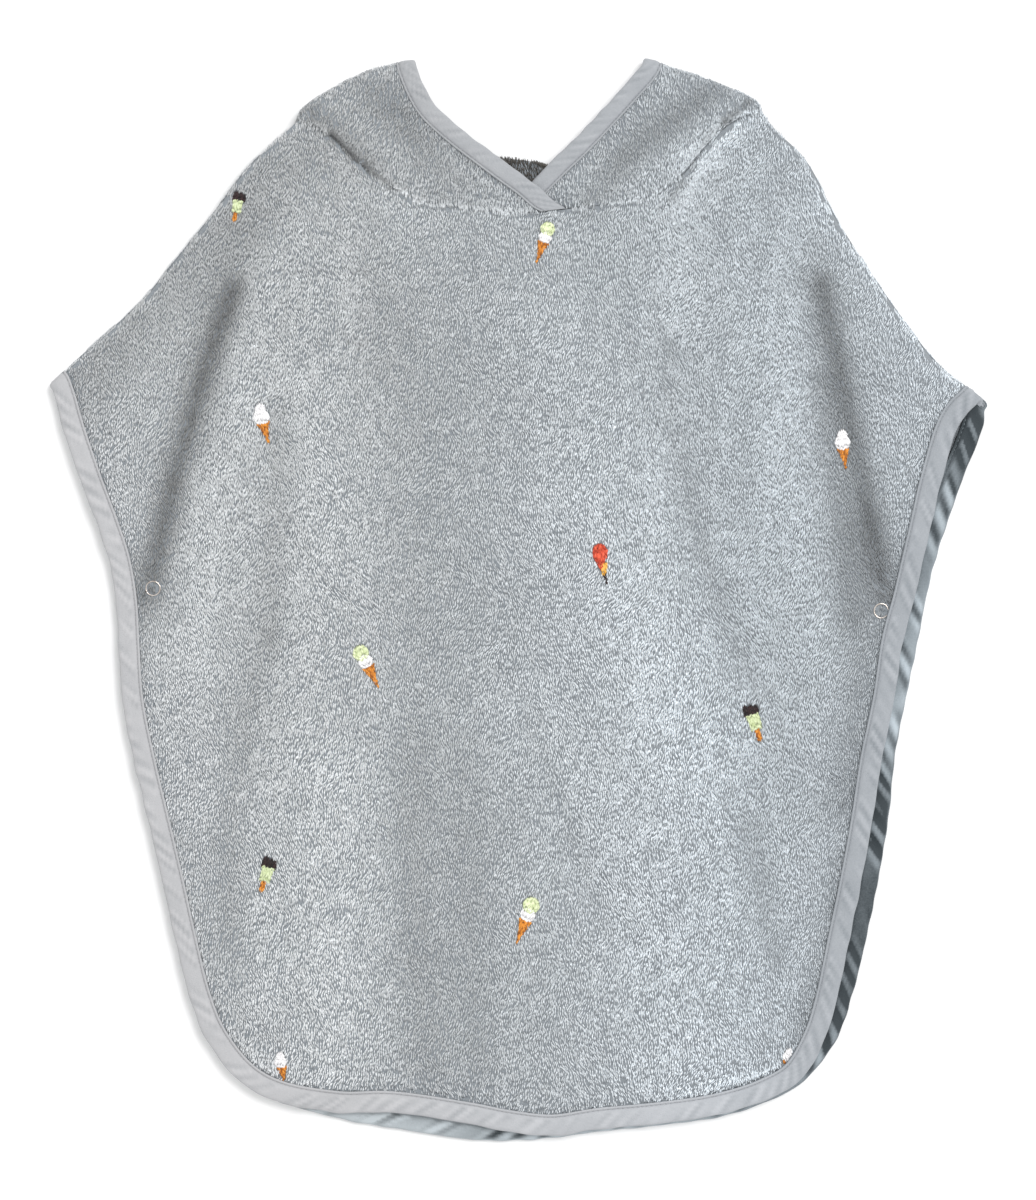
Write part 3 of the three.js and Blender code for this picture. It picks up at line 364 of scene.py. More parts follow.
def panel_grid(layer, edge, right_tip, columns, rows, shares, neck_drop=0):
    """Middle of a panel's cloth in rows from the shoulders to the hem, with what each place faces."""
    up = 1 if layer == "front" else -1
    left = SewnLine([left_tip, *left_shoulder, neck_rows[0]])
    right = SewnLine([neck_rows[-1], *reversed(right_shoulder), right_tip])
    steps = np.arange(1, columns["shoulder"] + 1) / (columns["shoulder"] + 1)
    left_shares = blend((edge_inset + pressing[2]) / left.length, 1, steps)
    right_shares = 1 - blend((edge_inset + pressing[2]) / right.length, 1, steps)[::-1]
    points = np.vstack([left.at(left_shares), neck_line.at(shares), right.at(right_shares)])
    points[:, 1] -= np.concatenate([
        0 * left_shares, neck_drop * ease(2 - np.abs(shares - 0.5) * 4), 0 * right_shares,
    ])
    inward = np.vstack([
        left.inward(left_shares, -1), neck_line.inward(shares, -1), right.inward(right_shares, -1),
    ])
    for _ in range(6):
        inward[1:-1] = unit(inward[:-2] + 2 * inward[1:-1] + inward[2:])
    from_corner = np.concatenate([
        (1 - left_shares) * left.length,
        -np.minimum(shares, 1 - shares) * neck_line.length,
        right_shares * right.length,
    ])
    turn = ease((from_corner + 20) / 60)
    last = len(points) + 5
    first_row = len(bends) - 1
    place = np.zeros((rows + 1, last + 1, 3))
    facing = np.zeros_like(place)
    facing[..., 2] = up
    half = np.full(place.shape[:2], terry / 2)
    inner_way = np.zeros((rows + 1, last + 1, 2))

    # Shoulders and neck
    inner = slice(3, last - 2)
    for j, angle in enumerate(bends):
        turned, faced = bent(points + inward * bend_inset["inner"], -inward, angle * turn, layer, "inner")
        plain = points + inward * seam_depths[j]
        plain = np.concatenate([plain, level(layer, "inner", plain)[:, None]], -1)
        place[j, inner] = blend(plain, turned, turn[:, None])
        facing[j, inner] = faced

    # Cuff corners
    for tip, along_top, along_side, column in (
        (left_tip, left.along(0.0), edge.along(0.0), lambda i: i),
        (right_tip, -right.along(1.0), -edge.along(1.0), lambda i: last - i),
    ):
        sine = abs(along_top[0] * along_side[1] - along_top[1] * along_side[0])
        outward = unit(-along_side + along_top * (along_side @ along_top))
        for i, depth in enumerate(pressing):
            zone = "edge" if i < 2 else "inner"
            axis = np.array(tip) + along_top * (edge_inset + depth) / sine
            axis = axis + along_side * bend_inset[zone] / sine
            axes = np.tile(axis, (len(bends), 1))
            turned, faced = bent(axes, np.tile(outward, (len(bends), 1)), bends, layer, zone)
            place[:len(bends), column(i)] = turned
            facing[:len(bends), column(i)] = faced
            half[:len(bends), column(i)] = (bound_edge if i < 2 else terry) / 2
            inner_way[:len(bends), column(i)] = along_top

    # Pressed bands along the sides and the hem
    start = cuff_turn / edge.length

    def band(share, ring):
        way = edge.inward(share, 1)
        spot = edge.at(share) + way * (edge_inset + pressing[ring])
        under = edge.at(share) + way * edge_inset
        height = level(layer, "edge", under) if ring < 2 else level(layer, "inner", spot)
        return np.concatenate([spot, height[:, None]], -1), way

    for ring in range(3):
        down = np.arange(first_row + 1, rows - ring + 1)
        share = blend(start, hem_corner, (down - first_row) / (rows - ring - first_row))
        place[down, ring], inner_way[down, ring] = band(share, ring)
        place[down, last - ring], inner_way[down, last - ring] = band(1 - share, ring)
        across = np.arange(ring + 1, last - ring)
        share = blend(hem_corner, 1 - hem_corner, (across - ring) / (last - 2 * ring))
        place[rows - ring, across], inner_way[rows - ring, across] = band(share, ring)
        if ring < 2:
            half[first_row:rows - ring + 1, [ring, last - ring]] = bound_edge / 2
            half[rows - ring, ring:last - ring + 1] = bound_edge / 2

    # Middle
    top, bottom = place[first_row, 2:last - 1, :2], place[rows - 2, 2:last - 1, :2]
    sides = place[first_row:rows - 1, 2, :2], place[first_row:rows - 1, last - 2, :2]
    u, v = np.linspace(0, 1, top.shape[0]), np.linspace(0, 1, sides[0].shape[0])
    middle = patch(u, v, top, bottom, *sides)[1:-1, 1:-1]
    place[first_row + 1:rows - 2, 3:last - 2, :2] = middle
    place[first_row + 1:rows - 2, 3:last - 2, 2] = level(layer, "inner", middle)
    return {"place": place, "facing": facing, "half": half, "inner_way": inner_way}


def outward_faces(points, faces):
    """The same faces, turned over where they enclose a negative volume."""
    a, b, c = (points[faces[:, k]] for k in (0, 1, 2))
    volume = np.einsum("ij,ij->", a, np.cross(b, c))
    if faces.shape[1] == 4:
        d = points[faces[:, 3]]
        volume += np.einsum("ij,ij->", a, np.cross(c, d))
    return faces if volume > 0 else faces[:, ::-1]


def quads(*corners):
    """Faces with four sides, from four arrays of corner numbers."""
    return np.stack(corners, -1).reshape(-1, 4)


def wall(upper, lower):
    """One closed wall between two grids of places."""
    rows, columns = upper.shape[:2]
    count = rows * columns
    index = np.arange(count).reshape(rows, columns)
    a, b, c, d = index[:-1, :-1], index[:-1, 1:], index[1:, 1:], index[1:, :-1]
    top = quads(a, b, c, d)
    rim = np.concatenate([index[0, :-1], index[:-1, -1], index[-1, :0:-1], index[:0:-1, 0]])
    after = np.roll(rim, -1)
    border = quads(after, rim, rim + count, after + count)
    points = np.vstack([upper.reshape(-1, 3), lower.reshape(-1, 3)])
    return points, outward_faces(points, np.vstack([top, top[:, ::-1] + count, border]))


def sew(name, points, faces, finish, shades=None, ends=(), charted=False):
    """A mesh from places in millimetres, put where the frame has the garment and nowhere below the floor."""
    points = np.column_stack([points[:, :2], np.maximum(points[:, 2], 0)])
    groups = [faces, *ends]
    corners = np.concatenate([group.ravel() for group in groups])
    sizes = np.concatenate([np.full(len(group), group.shape[1]) for group in groups])
    mesh = bpy.data.meshes.new(name)
    mesh.vertices.add(len(points))
    mesh.vertices.foreach_set("co", ((points + to_frame) / 1000).astype(np.float32).ravel())
    mesh.loops.add(len(corners))
    mesh.loops.foreach_set("vertex_index", corners.astype(np.int32))
    mesh.polygons.add(len(sizes))
    mesh.polygons.foreach_set("loop_start", (np.cumsum(sizes) - sizes).astype(np.int32))
    mesh.polygons.foreach_set("use_smooth", np.ones(len(sizes), bool))
    mesh.update(calc_edges=True)
    for label, values in (shades or {}).items():
        mesh.attributes.new(label, "FLOAT", "POINT").data.foreach_set("value", values.astype(np.float32))
    if charted:
        # A map of the cloth seen from above, so that thousands of loops or stitches share one even layout
        low, high = points[:, :2].min(0), points[:, :2].max(0)
        spots = (points[:, :2] - low) / (high - low).max()
        chart = mesh.uv_layers.new(name="OFBake")
        chart.data.foreach_set("uv", spots[corners].astype(np.float32).ravel())
    mesh.materials.append(finish.material)
    piece = bpy.data.objects.new(name, mesh)
    bpy.context.scene.collection.objects.link(piece)
    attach(piece, "root")
    return piece


class Socket:
    """A node's output that takes part in sums."""

    def __init__(self, finish, output):
        self.finish = finish
        self.output = output

    def maths(self, operation, first, second):
        return self.finish.node("ShaderNodeMath", {"operation": operation}, {0: first, 1: second})

    def __add__(self, other):
        return self.maths("ADD", self, other)

    def __mul__(self, other):
        return self.maths("MULTIPLY", self, other)

    def __sub__(self, other):
        return self.maths("SUBTRACT", self, other)

    def __rsub__(self, other):
        return self.maths("SUBTRACT", other, self)

    __radd__ = __add__
    __rmul__ = __mul__


class Finish:
    """A material. Its node method takes a node's type, its settings, and values or links for its sockets."""

    def __init__(self, name, **constants):
        self.material = bpy.data.materials.new(name)
        self.material.use_nodes = True
        self.tree = self.material.node_tree
        self.shader = self.tree.nodes["Principled BSDF"]
        for socket, value in constants.items():
            self.shader.inputs[socket.replace("_", " ")].default_value = value

    def node(self, kind, settings=None, sockets=None, output=0):
        node = self.tree.nodes.new(kind)
        for setting, value in (settings or {}).items():
            setattr(node, setting, value)
        for socket, value in (sockets or {}).items():
            self.feed(node.inputs[socket], value)
        return Socket(self, node.outputs[output])

    def feed(self, socket, value):
        if isinstance(value, Socket):
            self.tree.links.new(value.output, socket)
        else:
            socket.default_value = value

    def wear(self, **sockets):
        for socket, value in sockets.items():
            self.feed(self.shader.inputs[socket.replace("_", " ")], value)

    def place(self):
        return self.node("ShaderNodeTexCoord", output="Object")

    def noise(self, scale, detail=2.0):
        sockets = {"Vector": self.place(), "Scale": scale, "Detail": detail}
        return self.node("ShaderNodeTexNoise", None, sockets)

    def kept_in_mesh(self, label, output="Fac"):
        """What the mesh keeps at each point under a label."""
        return self.node("ShaderNodeAttribute", {"attribute_name": label}, output=output)

    def between(self, dark, light, share):
        """A colour between two, by share."""
        settings = {"data_type": "RGBA"}
        return self.node("ShaderNodeMix", settings, {0: share, 6: dark, 7: light}, output=2)

    def times(self, colour, other):
        settings = {"data_type": "RGBA", "blend_type": "MULTIPLY"}
        return self.node("ShaderNodeMix", settings, {0: 1.0, 6: colour, 7: other}, output=2)

    def cooler(self, colour):
        """The same colour, painted a little bluer toward the garment's right, as the cooler daylight there.
        """
        across = self.node("ShaderNodeSeparateXYZ", None, {"Vector": self.place()}, "X") * 4.0 + 0.45
        return self.times(colour, self.between((1, 1, 1, 1), (0.955, 0.995, 1.03, 1), across))

    def relief(self, height, depth):
        """A bump of a height in metres."""
        return self.node("ShaderNodeBump", None, {"Height": height, "Distance": depth, "Strength": 1.0})


def shade_of(red, green, blue):
    """A colour given as it is seen, out of 255, for a shader's socket."""
    seen = np.array((red, green, blue)) / 255
    linear = np.where(seen <= 0.04045, seen / 12.92, ((seen + 0.055) / 1.055) ** 2.4)
    return (*linear, 1.0)


# Ground cloth of the towelling: grey-blue, matt, with the rows of its loops' feet, painted darker than the
# loops as the shade down between them
ground = Finish("towelling_ground", Roughness=0.95, Sheen_Weight=0.15)
ground_mottle = ground.noise(420.0, 3.0) * 0.7 + ground.noise(55.0) * 0.3
ground.wear(
    Base_Color=ground.between(shade_of(104, 110, 116), shade_of(156, 162, 167), ground_mottle),
    Normal=ground.relief(ground.noise(600.0, 3.0), 0.0012),
)

front_grid = panel_grid(
    "front", front_edge, front_right_tip, front_columns, front_rows,
    np.linspace(0, 1, front_columns["neck"] + 1),
)
front_face = front_grid["place"] + front_grid["facing"] * (front_grid["half"] - pile_depth)[..., None]
front_under = front_grid["place"] - front_grid["facing"] * front_grid["half"][..., None]
front_panel = sew("front_towelling", *wall(front_face, front_under), ground)
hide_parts("front_panel")

# Loops of the front panel: cotton yarn standing about a millimetre out of the ground cloth and lying mostly
# along the garment, in slow waves. They are joined into four pieces by height on the garment.
loop_length, loop_width, loop_rise = 4.1, 1.25, 1.05
pitch_across, pitch_along = 1.2, 2.2
slow_turn, quick_turn, own_turn = 8, 8, 9  # degrees by which loops turn, in long and short waves and alone
long_wave, short_wave = 70, 16
strand_shades = np.array((0.78, 1.0, 0.1, 0.1))  # painted shade: how light each loop is painted at its tail, head and two flanks, dark at the low flanks where the loops shade each other
# Painted light and shade of the loops: their level on the level cloth, and the strength of the bands below
full_light = 1.05
band_strength = 1.2
fold_shade = 0.03  # painted shade: how much darker the loops are painted for each millimetre down in a fold
deepest, highest = -3.6, 2.5  # rise of the folds beyond which their painted shade stays the same
# Painted shade and light: start, a point on the way, end and half width of each band painted darker or
# lighter, and how much lighter it is painted
shade_rows = (
    (-280, 122, -216, 182, -150, 262, 22, -0.21),
    (-171, 186, -197, 107, -222, 5, 5.4, -0.38),
    (-171, 176, -197, 107, -222, -5, 9, -0.12),
    (-232, 20, -231, -16, -226, -50, 6, -0.08),
    (-214, -20, -206, -70, -194, -120, 12, 0.06),
    (-192, 80, -194, 30, -190, -40, 7, 0.1),
    (182, 190, 206, 80, 222, 0, 5.4, -0.32),
    (180, 190, 200, 90, 216, 0, 11, -0.12),
    (183, 130, 190, 60, 199, -13, 7, -0.16),
    (206, 40, 206, -40, 198, -120, 12, -0.16),
    (196, -160, 187, -212, 172, -258, 7, -0.16),
    (190, 236, 236, 176, 272, 125, 13, 0.16),
    (-143, 117, -145, 50, -149, -20, 6, -0.12),
    (-149, -20, -168, -95, -173, -200, 6, -0.1),
    (-160, -120, -158, -170, -150, -240, 9, 0.1),
    (-140, 200, -105, 165, -75, 130, 30, -0.05),
    (-118, 262, -98, 235, -84, 150, 13, -0.1),
    (-60, 190, -66, 100, -60, 0, 20, -0.05),
    (-126, 120, -116, 80, -112, 20, 12, 0.05),
    (30, 60, 60, -20, 100, -90, 26, 0.09),
    (10, -70, 50, -170, 84, -290, 26, 0.12),
    (108, -40, 116, -160, 128, -285, 24, 0.09),
    (160, -150, 158, -200, 150, -250, 10, 0.07),
    (-112, -110, -112, -190, -108, -290, 22, 0.12),
    (-64, -90, -63, -190, -54, -290, 8, -0.1),
    (-31, -90, -30, -170, -21, -280, 7, -0.08),
    (6, -70, 30, -134, 53, -200, 4, -0.1),
    (90, 154, 102, 60, 146, -60, 5, -0.1),
    (137, -135, 146, -176, 155, -218, 5, -0.14),
    (-112, 279, -96, 263, -76, 247, 1.5, -0.3),
    (139, 299, 130, 291, 124, 286, 1.8, -0.42),
    (124, 286, 111, 272, 103, 258, 1.8, -0.2),
    (98, 250, 95, 246, 92, 241, 2.2, -0.22),
    (-82, 300, -60, 270, -38, 247, 9, -0.16),
    (-128, 297, -108, 278, -90, 260, 6, -0.2),
    (119, 305, 84, 281, 44, 238, 7, -0.22),
    (100, 266, 120, 274, 137, 287, 5, 0.12),
    (-112, 310, -90, 300, -70, 290, 14, -0.06),
)


def scatter(face, seed, side=1):
    """Loop places in uneven rows over a grid, and their facing: up, or down where side is -1."""
    draw = np.random.default_rng(seed)
    a, b, c, d = face[:-1, :-1], face[:-1, 1:], face[1:, 1:], face[1:, :-1]
    normals = unit(np.cross(c - a, d - b))
    wide = (np.linalg.norm(b - a, axis=-1) + np.linalg.norm(c - d, axis=-1)).ravel() / 2 / pitch_across
    high = (np.linalg.norm(d - a, axis=-1) + np.linalg.norm(c - b, axis=-1)).ravel() / 2 / pitch_along
    columns = np.floor(wide + draw.random(len(wide))).astype(int)
    rows = np.floor(high + draw.random(len(high))).astype(int)
    counts = columns * rows
    which = np.repeat(np.arange(len(counts)), counts)
    nth = np.arange(len(which)) - np.repeat(np.cumsum(counts) - counts, counts)
    row, column = nth // columns[which], nth % columns[which]
    u = (column + 0.25 + 0.5 * (row % 2) + draw.uniform(-0.24, 0.24, len(which))) / columns[which]
    v = (row + 0.5 + draw.uniform(-0.4, 0.4, len(which))) / rows[which]
    u, v = u[:, None], v[:, None]
    a, b, c, d = (corner.reshape(-1, 3)[which] for corner in (a, b, c, d))
    spots = a * (1 - u) * (1 - v) + b * u * (1 - v) + c * u * v + d * (1 - u) * v
    normals = normals.reshape(-1, 3)[which]
    return spots, normals * side * np.sign(np.median(normals[:, 2]))


def painted_light_and_shade_at(places, folds):
    """Painted light and shade of the loops at each place, from the folds and bands: about one on the level
    cloth in full light.
    """
    rise = np.clip(fold_rise(places, folds), deepest, highest)
    return full_light + band_strength * fold_rise(places, shade_rows) + fold_shade * rise


def pile(name, spots, normals, seed, finish, size=1.0, tone=1.0):
    """A piece with a slender closed strand at each place, painted light along its ridge and dark at its
    flanks, as shade.
    """
    draw = np.random.default_rng(seed)
    count = len(spots)
    angle = 90 + slow_turn * drift(spots, long_wave, 11) + quick_turn * drift(spots, short_wave, 12)
    angle = np.radians(angle + draw.normal(0, own_turn, count))
    along = np.stack([np.cos(angle), np.sin(angle), 0 * angle], -1)
    along = unit(along - normals * np.sum(along * normals, -1, keepdims=True))
    reach = along * (size * loop_length * draw.uniform(0.35, 0.62, count))[:, None]
    flank = np.cross(normals, along) * (size * loop_width * draw.uniform(0.4, 0.6, count))[:, None]
    up = normals * (size * loop_rise * draw.uniform(0.65, 1.2, count))[:, None]
    lean = along * draw.normal(0, 0.5, count)[:, None]
    tail, head = spots - reach + up * 0.3, spots + reach + up * 0.85
    left, right = spots + flank + lean - up * 0.3, spots - flank + lean - up * 0.3
    points = np.stack([tail, head, left, right], 1).reshape(-1, 3)
    faces = np.array(((0, 1, 2), (1, 0, 3), (0, 2, 3), (1, 3, 2)))
    faces = (faces[None] + 4 * np.arange(count)[:, None, None]).reshape(-1, 3)
    faces = outward_faces(points, faces)
    own = draw.normal(0, 0.15, count)
    shade = np.clip(strand_shades[None] + own[:, None], 0, 1)
    tone = np.repeat(np.broadcast_to(tone, count)[:, None], 4, axis=1)
    shades = {"shade": shade.ravel(), "tone": tone.ravel()}
    piece = sew(name, points, faces, finish, shades, charted=True)
    return piece


def towelling_finish(name, dark, light):
    """Cotton loops, painted dark down between them as shade, and light over most of their backs."""
    finish = Finish(name, Roughness=0.9, Sheen_Weight=0.2, Sheen_Roughness=0.6)
    height = finish.kept_in_mesh("shade")
    height = height * (2.0 - height) * (0.89 + finish.noise(28.0) * 0.08 + finish.noise(150.0) * 0.14)
    yarn = finish.between(dark, light, height)
    # The tone that the mesh keeps is painted light and shade, from the folds and bands
    finish.wear(
        Base_Color=finish.cooler(finish.times(yarn, finish.kept_in_mesh("tone"))),
        Normal=finish.relief(finish.noise(2600.0, 2.0), 0.0003),
    )
    return finish


loops = towelling_finish("towelling_loops", shade_of(122, 129, 136), shade_of(247, 250, 252))

# Small embroidered ice creams, which the loops leave bare: kind, then top and tip on the garment
motif_rows = (
    ("lolly", -166.5, 245, -170.5, 227),
    ("two_scoops", 19.5, 226, 11, 202),
    ("one_scoop", -156, 118, -149.5, 94),
    ("one_scoop", 194, 103, 197, 79),
    ("ice_drop", 48, 33.5, 52.5, 9.5),
    ("two_scoops", -96, -27.5, -83.5, -53),
    ("lolly", 138.5, -62.5, 145.5, -84.5),
    ("lolly", -148, -154.5, -154.5, -175.5),
    ("two_scoops", 10, -179, -1, -206.5),
    ("one_scoop", -143.5, -271, -140.5, -290),
    ("one_scoop", 163, -269, 160.5, -285),
)


def round_shape(x, y, half_width, half_height):
    angle = np.linspace(0, 2 * np.pi, 21)[:-1]
    return np.stack([x + half_width * np.cos(angle), y + half_height * np.sin(angle)], -1)


# Each kind on a length of one hundred, down from its top: shapes, with their darker and lighter thread
green, pale_green = (196, 208, 158), (240, 247, 208)
white, bright_white = (226, 224, 226), (255, 255, 255)
orange, pale_orange = (150, 82, 12), (240, 160, 58)
amber, pale_amber = (214, 150, 40), (252, 206, 110)
red, pale_red = (172, 48, 22), (250, 112, 80)
brown, pale_brown = (12, 4, 6), (52, 24, 26)
motif_shapes = {
    "two_scoops": (
        (
            np.array(((-13, -49), (13, -49), (4, -80), (1.5, -100), (-1.5, -100), (-4, -80))),
            orange, pale_orange,
        ),
        (round_shape(0, -37, 15, 15), white, bright_white),
        (round_shape(-1, -17, 16.5, 17), green, pale_green),
    ),
    "one_scoop": (
        (
            np.array(((-15, -50), (15, -50), (5, -80), (2, -100), (-2, -100), (-5, -80))),
            orange, pale_orange,
        ),
        (round_shape(0, -35, 19, 20), white, bright_white),
        (round_shape(2, -16, 12, 14), white, bright_white),
    ),
    "ice_drop": (
        (np.array(((-2, -72), (4, -72), (4, -100), (0, -100))), brown, pale_brown),
        (np.array(((-3, -48), (14, -50), (9, -66), (3, -80), (-4, -78))), amber, pale_amber),
        (np.array((
            (-17, -12), (-10, -3), (2, 0), (13, -5), (18, -18), (17, -32), (10, -42), (3, -50), (-2, -64),
            (-6, -66), (-12, -48), (-17, -30),
        )), red, pale_red),
    ),
    "lolly": (
        (np.array(((-6, -68), (6, -68), (6, -97), (2, -100), (-3, -100), (-6, -97))), orange, pale_orange),
        (np.array(((-17, -26), (17, -26), (14, -70), (-14, -70))), green, (226, 236, 196)),
        (np.array((
            (-20, -32), (-20, -8), (-13, 0), (-4, -7), (4, -2), (9, -9), (16, -6), (20, -14), (20, -30),
        )), brown, pale_brown),
    ),
}


def motif_frame(row):
    """Top of a motif, its way up and its way across, and its size as a share of one hundred."""
    kind, x0, y0, x1, y1 = row
    top, tip = np.array((x0, y0), float), np.array((x1, y1), float)
    length = np.linalg.norm(top - tip)
    up = (top - tip) / length
    return top, up, np.array((up[1], -up[0])), length / 100


def on_garment(row, shape):
    top, up, across, size = motif_frame(row)
    return top + (shape[:, :1] * across + shape[:, 1:] * up) * size


embroidered = [on_garment(row, shape) for row in motif_rows for shape, _, _ in motif_shapes[row[0]]]

front_binding_width = 1.14  # share of the hood binding's width
loops_from_edge = 11.2 * front_binding_width
ring_radius, ring_band, share_on_ring = 4.2, 1.7, 0.12  # few loops lie over a press stud's ring
spots, normals = scatter(front_face, 1)
kept = distance(spots, edge_points) > loops_from_edge
for shape in embroidered:
    kept &= ~inside(spots, shape)
for place in stud_places:
    off = np.abs(np.linalg.norm(spots[:, :2] - place, axis=1) - ring_radius)
    kept &= (off > ring_band) | (np.random.default_rng(5).random(len(spots)) < share_on_ring)
spots, normals = spots[kept], normals[kept]

# Loops that close over the neck seam, except where it lies open as a crease and under the hood's binding
seam_open = ((-112, -75), (6, 28), (99, 136))
seam_half = 1.7


def front_height(places):
    """Height of the front panel's ground cloth."""
    return level("front", "inner", places) + terry / 2 - pile_depth


draw = np.random.default_rng(8)
count = int(neck_line.length * (2 * seam_half) / (pitch_across * pitch_along))
share = draw.random(count)
off_seam = draw.uniform(-seam_half, seam_half, count)[:, None]
on_seam = neck_line.at(share) + neck_line.inward(share, -1) * off_seam
open_here = np.any([(on_seam[:, 0] > low) & (on_seam[:, 0] < high) for low, high in seam_open], axis=0)
on_seam = on_seam[~open_here]
spots = np.vstack([spots, np.column_stack([on_seam, front_height(on_seam)])])
normals = np.vstack([normals, np.tile((0.0, 0.0, 1.0), (len(on_seam), 1))])

# Painted shade and light of the folds, creases and bands, kept on the front's loops
tone = painted_light_and_shade_at(spots, fold_rows + crease_rows)
for name, low, high in (("top", 145, 400), ("chest", 15, 145), ("waist", -130, 15), ("bottom", -400, -130)):
    chosen = (spots[:, 1] >= low) & (spots[:, 1] < high)
    piece = pile(f"front_loops_{name}", spots[chosen], normals[chosen], 21, loops, tone=tone[chosen])

# Embroidered ice creams: satin stitches of coloured cotton on bare ground cloth of the front panel, a little
# lower than the loops round them. They are small common shapes, drawn for this part.
stitch_spacing, stitch_length, stitch_overlap, stitch_width = 0.55, 3.6, 1.5, 1.15
stitch_lift, layer_lift = 0.45, 0.12  # height over the ground cloth, and of each shape over the one before
backing_down = 2.2  # layers that the long threads under each row of stitches lie lower
stitches_from_edge = 11.6 * front_binding_width
stitches_from_fold = 3.4


def raised_stitches(centre, normal, along, length, width, rise, bow, lean):
    """Closed slender stitches along a direction on the cloth: two feet, two flanks and a crest each."""
    along = unit(along - normal * np.sum(along * normal, -1, keepdims=True))
    side = np.cross(normal, along)
    reach = along * length[:, None] / 2
    flank = side * width[:, None] / 2
    up = normal * rise[:, None]
    swing = side * bow[:, None]
    back_foot = centre - reach - up * 0.35
    front_foot = centre + reach + up * lean[:, None]
    left_flank = centre + swing + flank + up * 0.15
    right_flank = centre + swing - flank + up * 0.15
    crest = centre + swing + reach * 0.25 + up
    points = np.stack([back_foot, front_foot, left_flank, right_flank, crest], 1).reshape(-1, 3)
    faces = np.array(((0, 3, 4), (3, 1, 4), (1, 2, 4), (2, 0, 4), (0, 1, 3), (0, 2, 1)))
    faces = (faces[None] + 5 * np.arange(len(centre))[:, None, None]).reshape(-1, 3)
    return points, faces


def stitch_rows(shapes, size, draw):
    """Stitches that fill the shapes in upright rows: place, length, layer and the two colours of each."""
    stitches = []
    for layer, (shape, dark, light) in enumerate(shapes):
        outline = shape * size
        for x in np.arange(outline[:, 0].min() + 0.2, outline[:, 0].max(), stitch_spacing):
            heights = []
            for a, b in zip(outline, np.roll(outline, -1, axis=0)):
                if (a[0] > x) != (b[0] > x):
                    heights.append(a[1] + (b[1] - a[1]) * (x - a[0]) / (b[0] - a[0]))
            heights = sorted(heights)
            for low, high in zip(heights[::2], heights[1::2]):
                stitches.append((x, (low + high) / 2, high - low + 1.0, layer - backing_down, *dark, *light))
                first_cut = low + draw.uniform(0.9, stitch_length)
                cuts = [low, *np.arange(first_cut, high - 0.8, stitch_length), high]
                for start, end in zip(cuts[:-1], cuts[1:]):
                    middle, length = (start + end) / 2, end - start + stitch_overlap
                    stitches.append((x + draw.normal(0, 0.07), middle, length, layer, *dark, *light))
    return np.array(stitches)


embroidery = Finish("embroidery_thread", Roughness=0.55, Sheen_Weight=0.1)
embroidery.wear(
    Base_Color=embroidery.kept_in_mesh("thread", output="Color"),
    Normal=embroidery.relief(embroidery.noise(3200.0, 2.0), 0.0002),
)
for number, row in enumerate(motif_rows):
    draw = np.random.default_rng(300 + number)
    top, up, across, size = motif_frame(row)
    stitches = stitch_rows(motif_shapes[row[0]], size, draw)
    spots = top + stitches[:, :1] * across + stitches[:, 1:2] * up
    near_fold = np.min([distance(spots, line) for line in shoulder_lines], axis=0)
    kept = (distance(spots, edge_points) > stitches_from_edge) & (near_fold > stitches_from_fold)
    stitches, spots = stitches[kept], spots[kept]
    count = len(spots)
    step = 0.5
    height = front_height(spots)
    slope = np.stack([(front_height(spots + move) - height) / step for move in ((step, 0), (0, step))], -1)
    normals = unit(np.concatenate([-slope, np.ones((count, 1))], -1))
    centre = np.concatenate([spots, (height + stitch_lift + stitches[:, 3] * layer_lift)[:, None]], -1)
    tilt = draw.normal(0, 0.1, count)[:, None]
    way = np.concatenate([up + across * tilt, np.zeros((count, 1))], -1)
    points, faces = raised_stitches(
        centre, normals, way, stitches[:, 2], np.full(count, stitch_width), draw.uniform(0.5, 0.8, count),
        draw.normal(0, 0.05, count), np.full(count, -0.3),
    )
    motif = sew(f"motif_{number + 1:02d}", points, faces, embroidery, charted=True)
    share = np.clip(draw.normal(0.6, 0.36, count), 0, 1)[:, None]
    colour = np.repeat(blend(stitches[:, 4:7], stitches[:, 7:10], share), 5, axis=0)
    linear = np.array([shade_of(*seen) for seen in colour], np.float32)
    motif.data.attributes.new("thread", "FLOAT_COLOR", "POINT").data.foreach_set("color", linear.ravel())

# Back panel: the same towelling, lying face down on the surface. It reaches beyond the front at the right
# and at the hem, so that a strip of it shows there. Its neck is sewn to the hood under the front's.
back_right_tip = (281.4, 119.5)
back_columns = {"shoulder": 26, "neck": 40}
back_rows = 100
back_edge = bound_outline(3, 2, back_right_tip)
back_grid = panel_grid(
    "back", back_edge, back_right_tip, back_columns, back_rows,
    np.linspace(0, 1, back_columns["neck"] + 1), neck_drop=2,
)
back_under = back_grid["place"] + back_grid["facing"] * back_grid["half"][..., None]
back_face = back_grid["place"] - back_grid["facing"] * (back_grid["half"] - pile_depth)[..., None]
back_panel = sew("back_towelling", *wall(back_under, back_face), ground)
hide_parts("back_panel")

# Painted shade: the strip of back that shows lies low beside the front's edge, so its loops are a darker
# copy of the front's
shaded_loops = towelling_finish("shaded_loops", shade_of(50, 54, 60), shade_of(158, 163, 167))
back_points = back_edge.at(np.linspace(0, 1, 161))
spots, normals = scatter(back_face, 2)
front_outline = np.vstack([edge_points, shoulder_lines[1][::-1], shoulder_lines[0][::-1]])
from_front_edge = distance(spots, edge_points)
kept = (~inside(spots, front_outline)) | (from_front_edge < 9)
kept &= (distance(spots, back_points) > 11.0) & (from_front_edge < 60) & (spots[:, 1] < 112)
back_loops = pile("back_loops", spots[kept], normals[kept], 22, shaded_loops, size=0.8)

# Where the back turns up into the shoulder folds, its outside shows
spots, normals = scatter(back_under[:len(bends), 3:-3], 3, side=-1)
# These loops carry the painted shade of the folds too
fold_loops = pile("back_shoulder_loops", spots, normals, 23, loops, tone=painted_light_and_shade_at(spots, fold_rows))

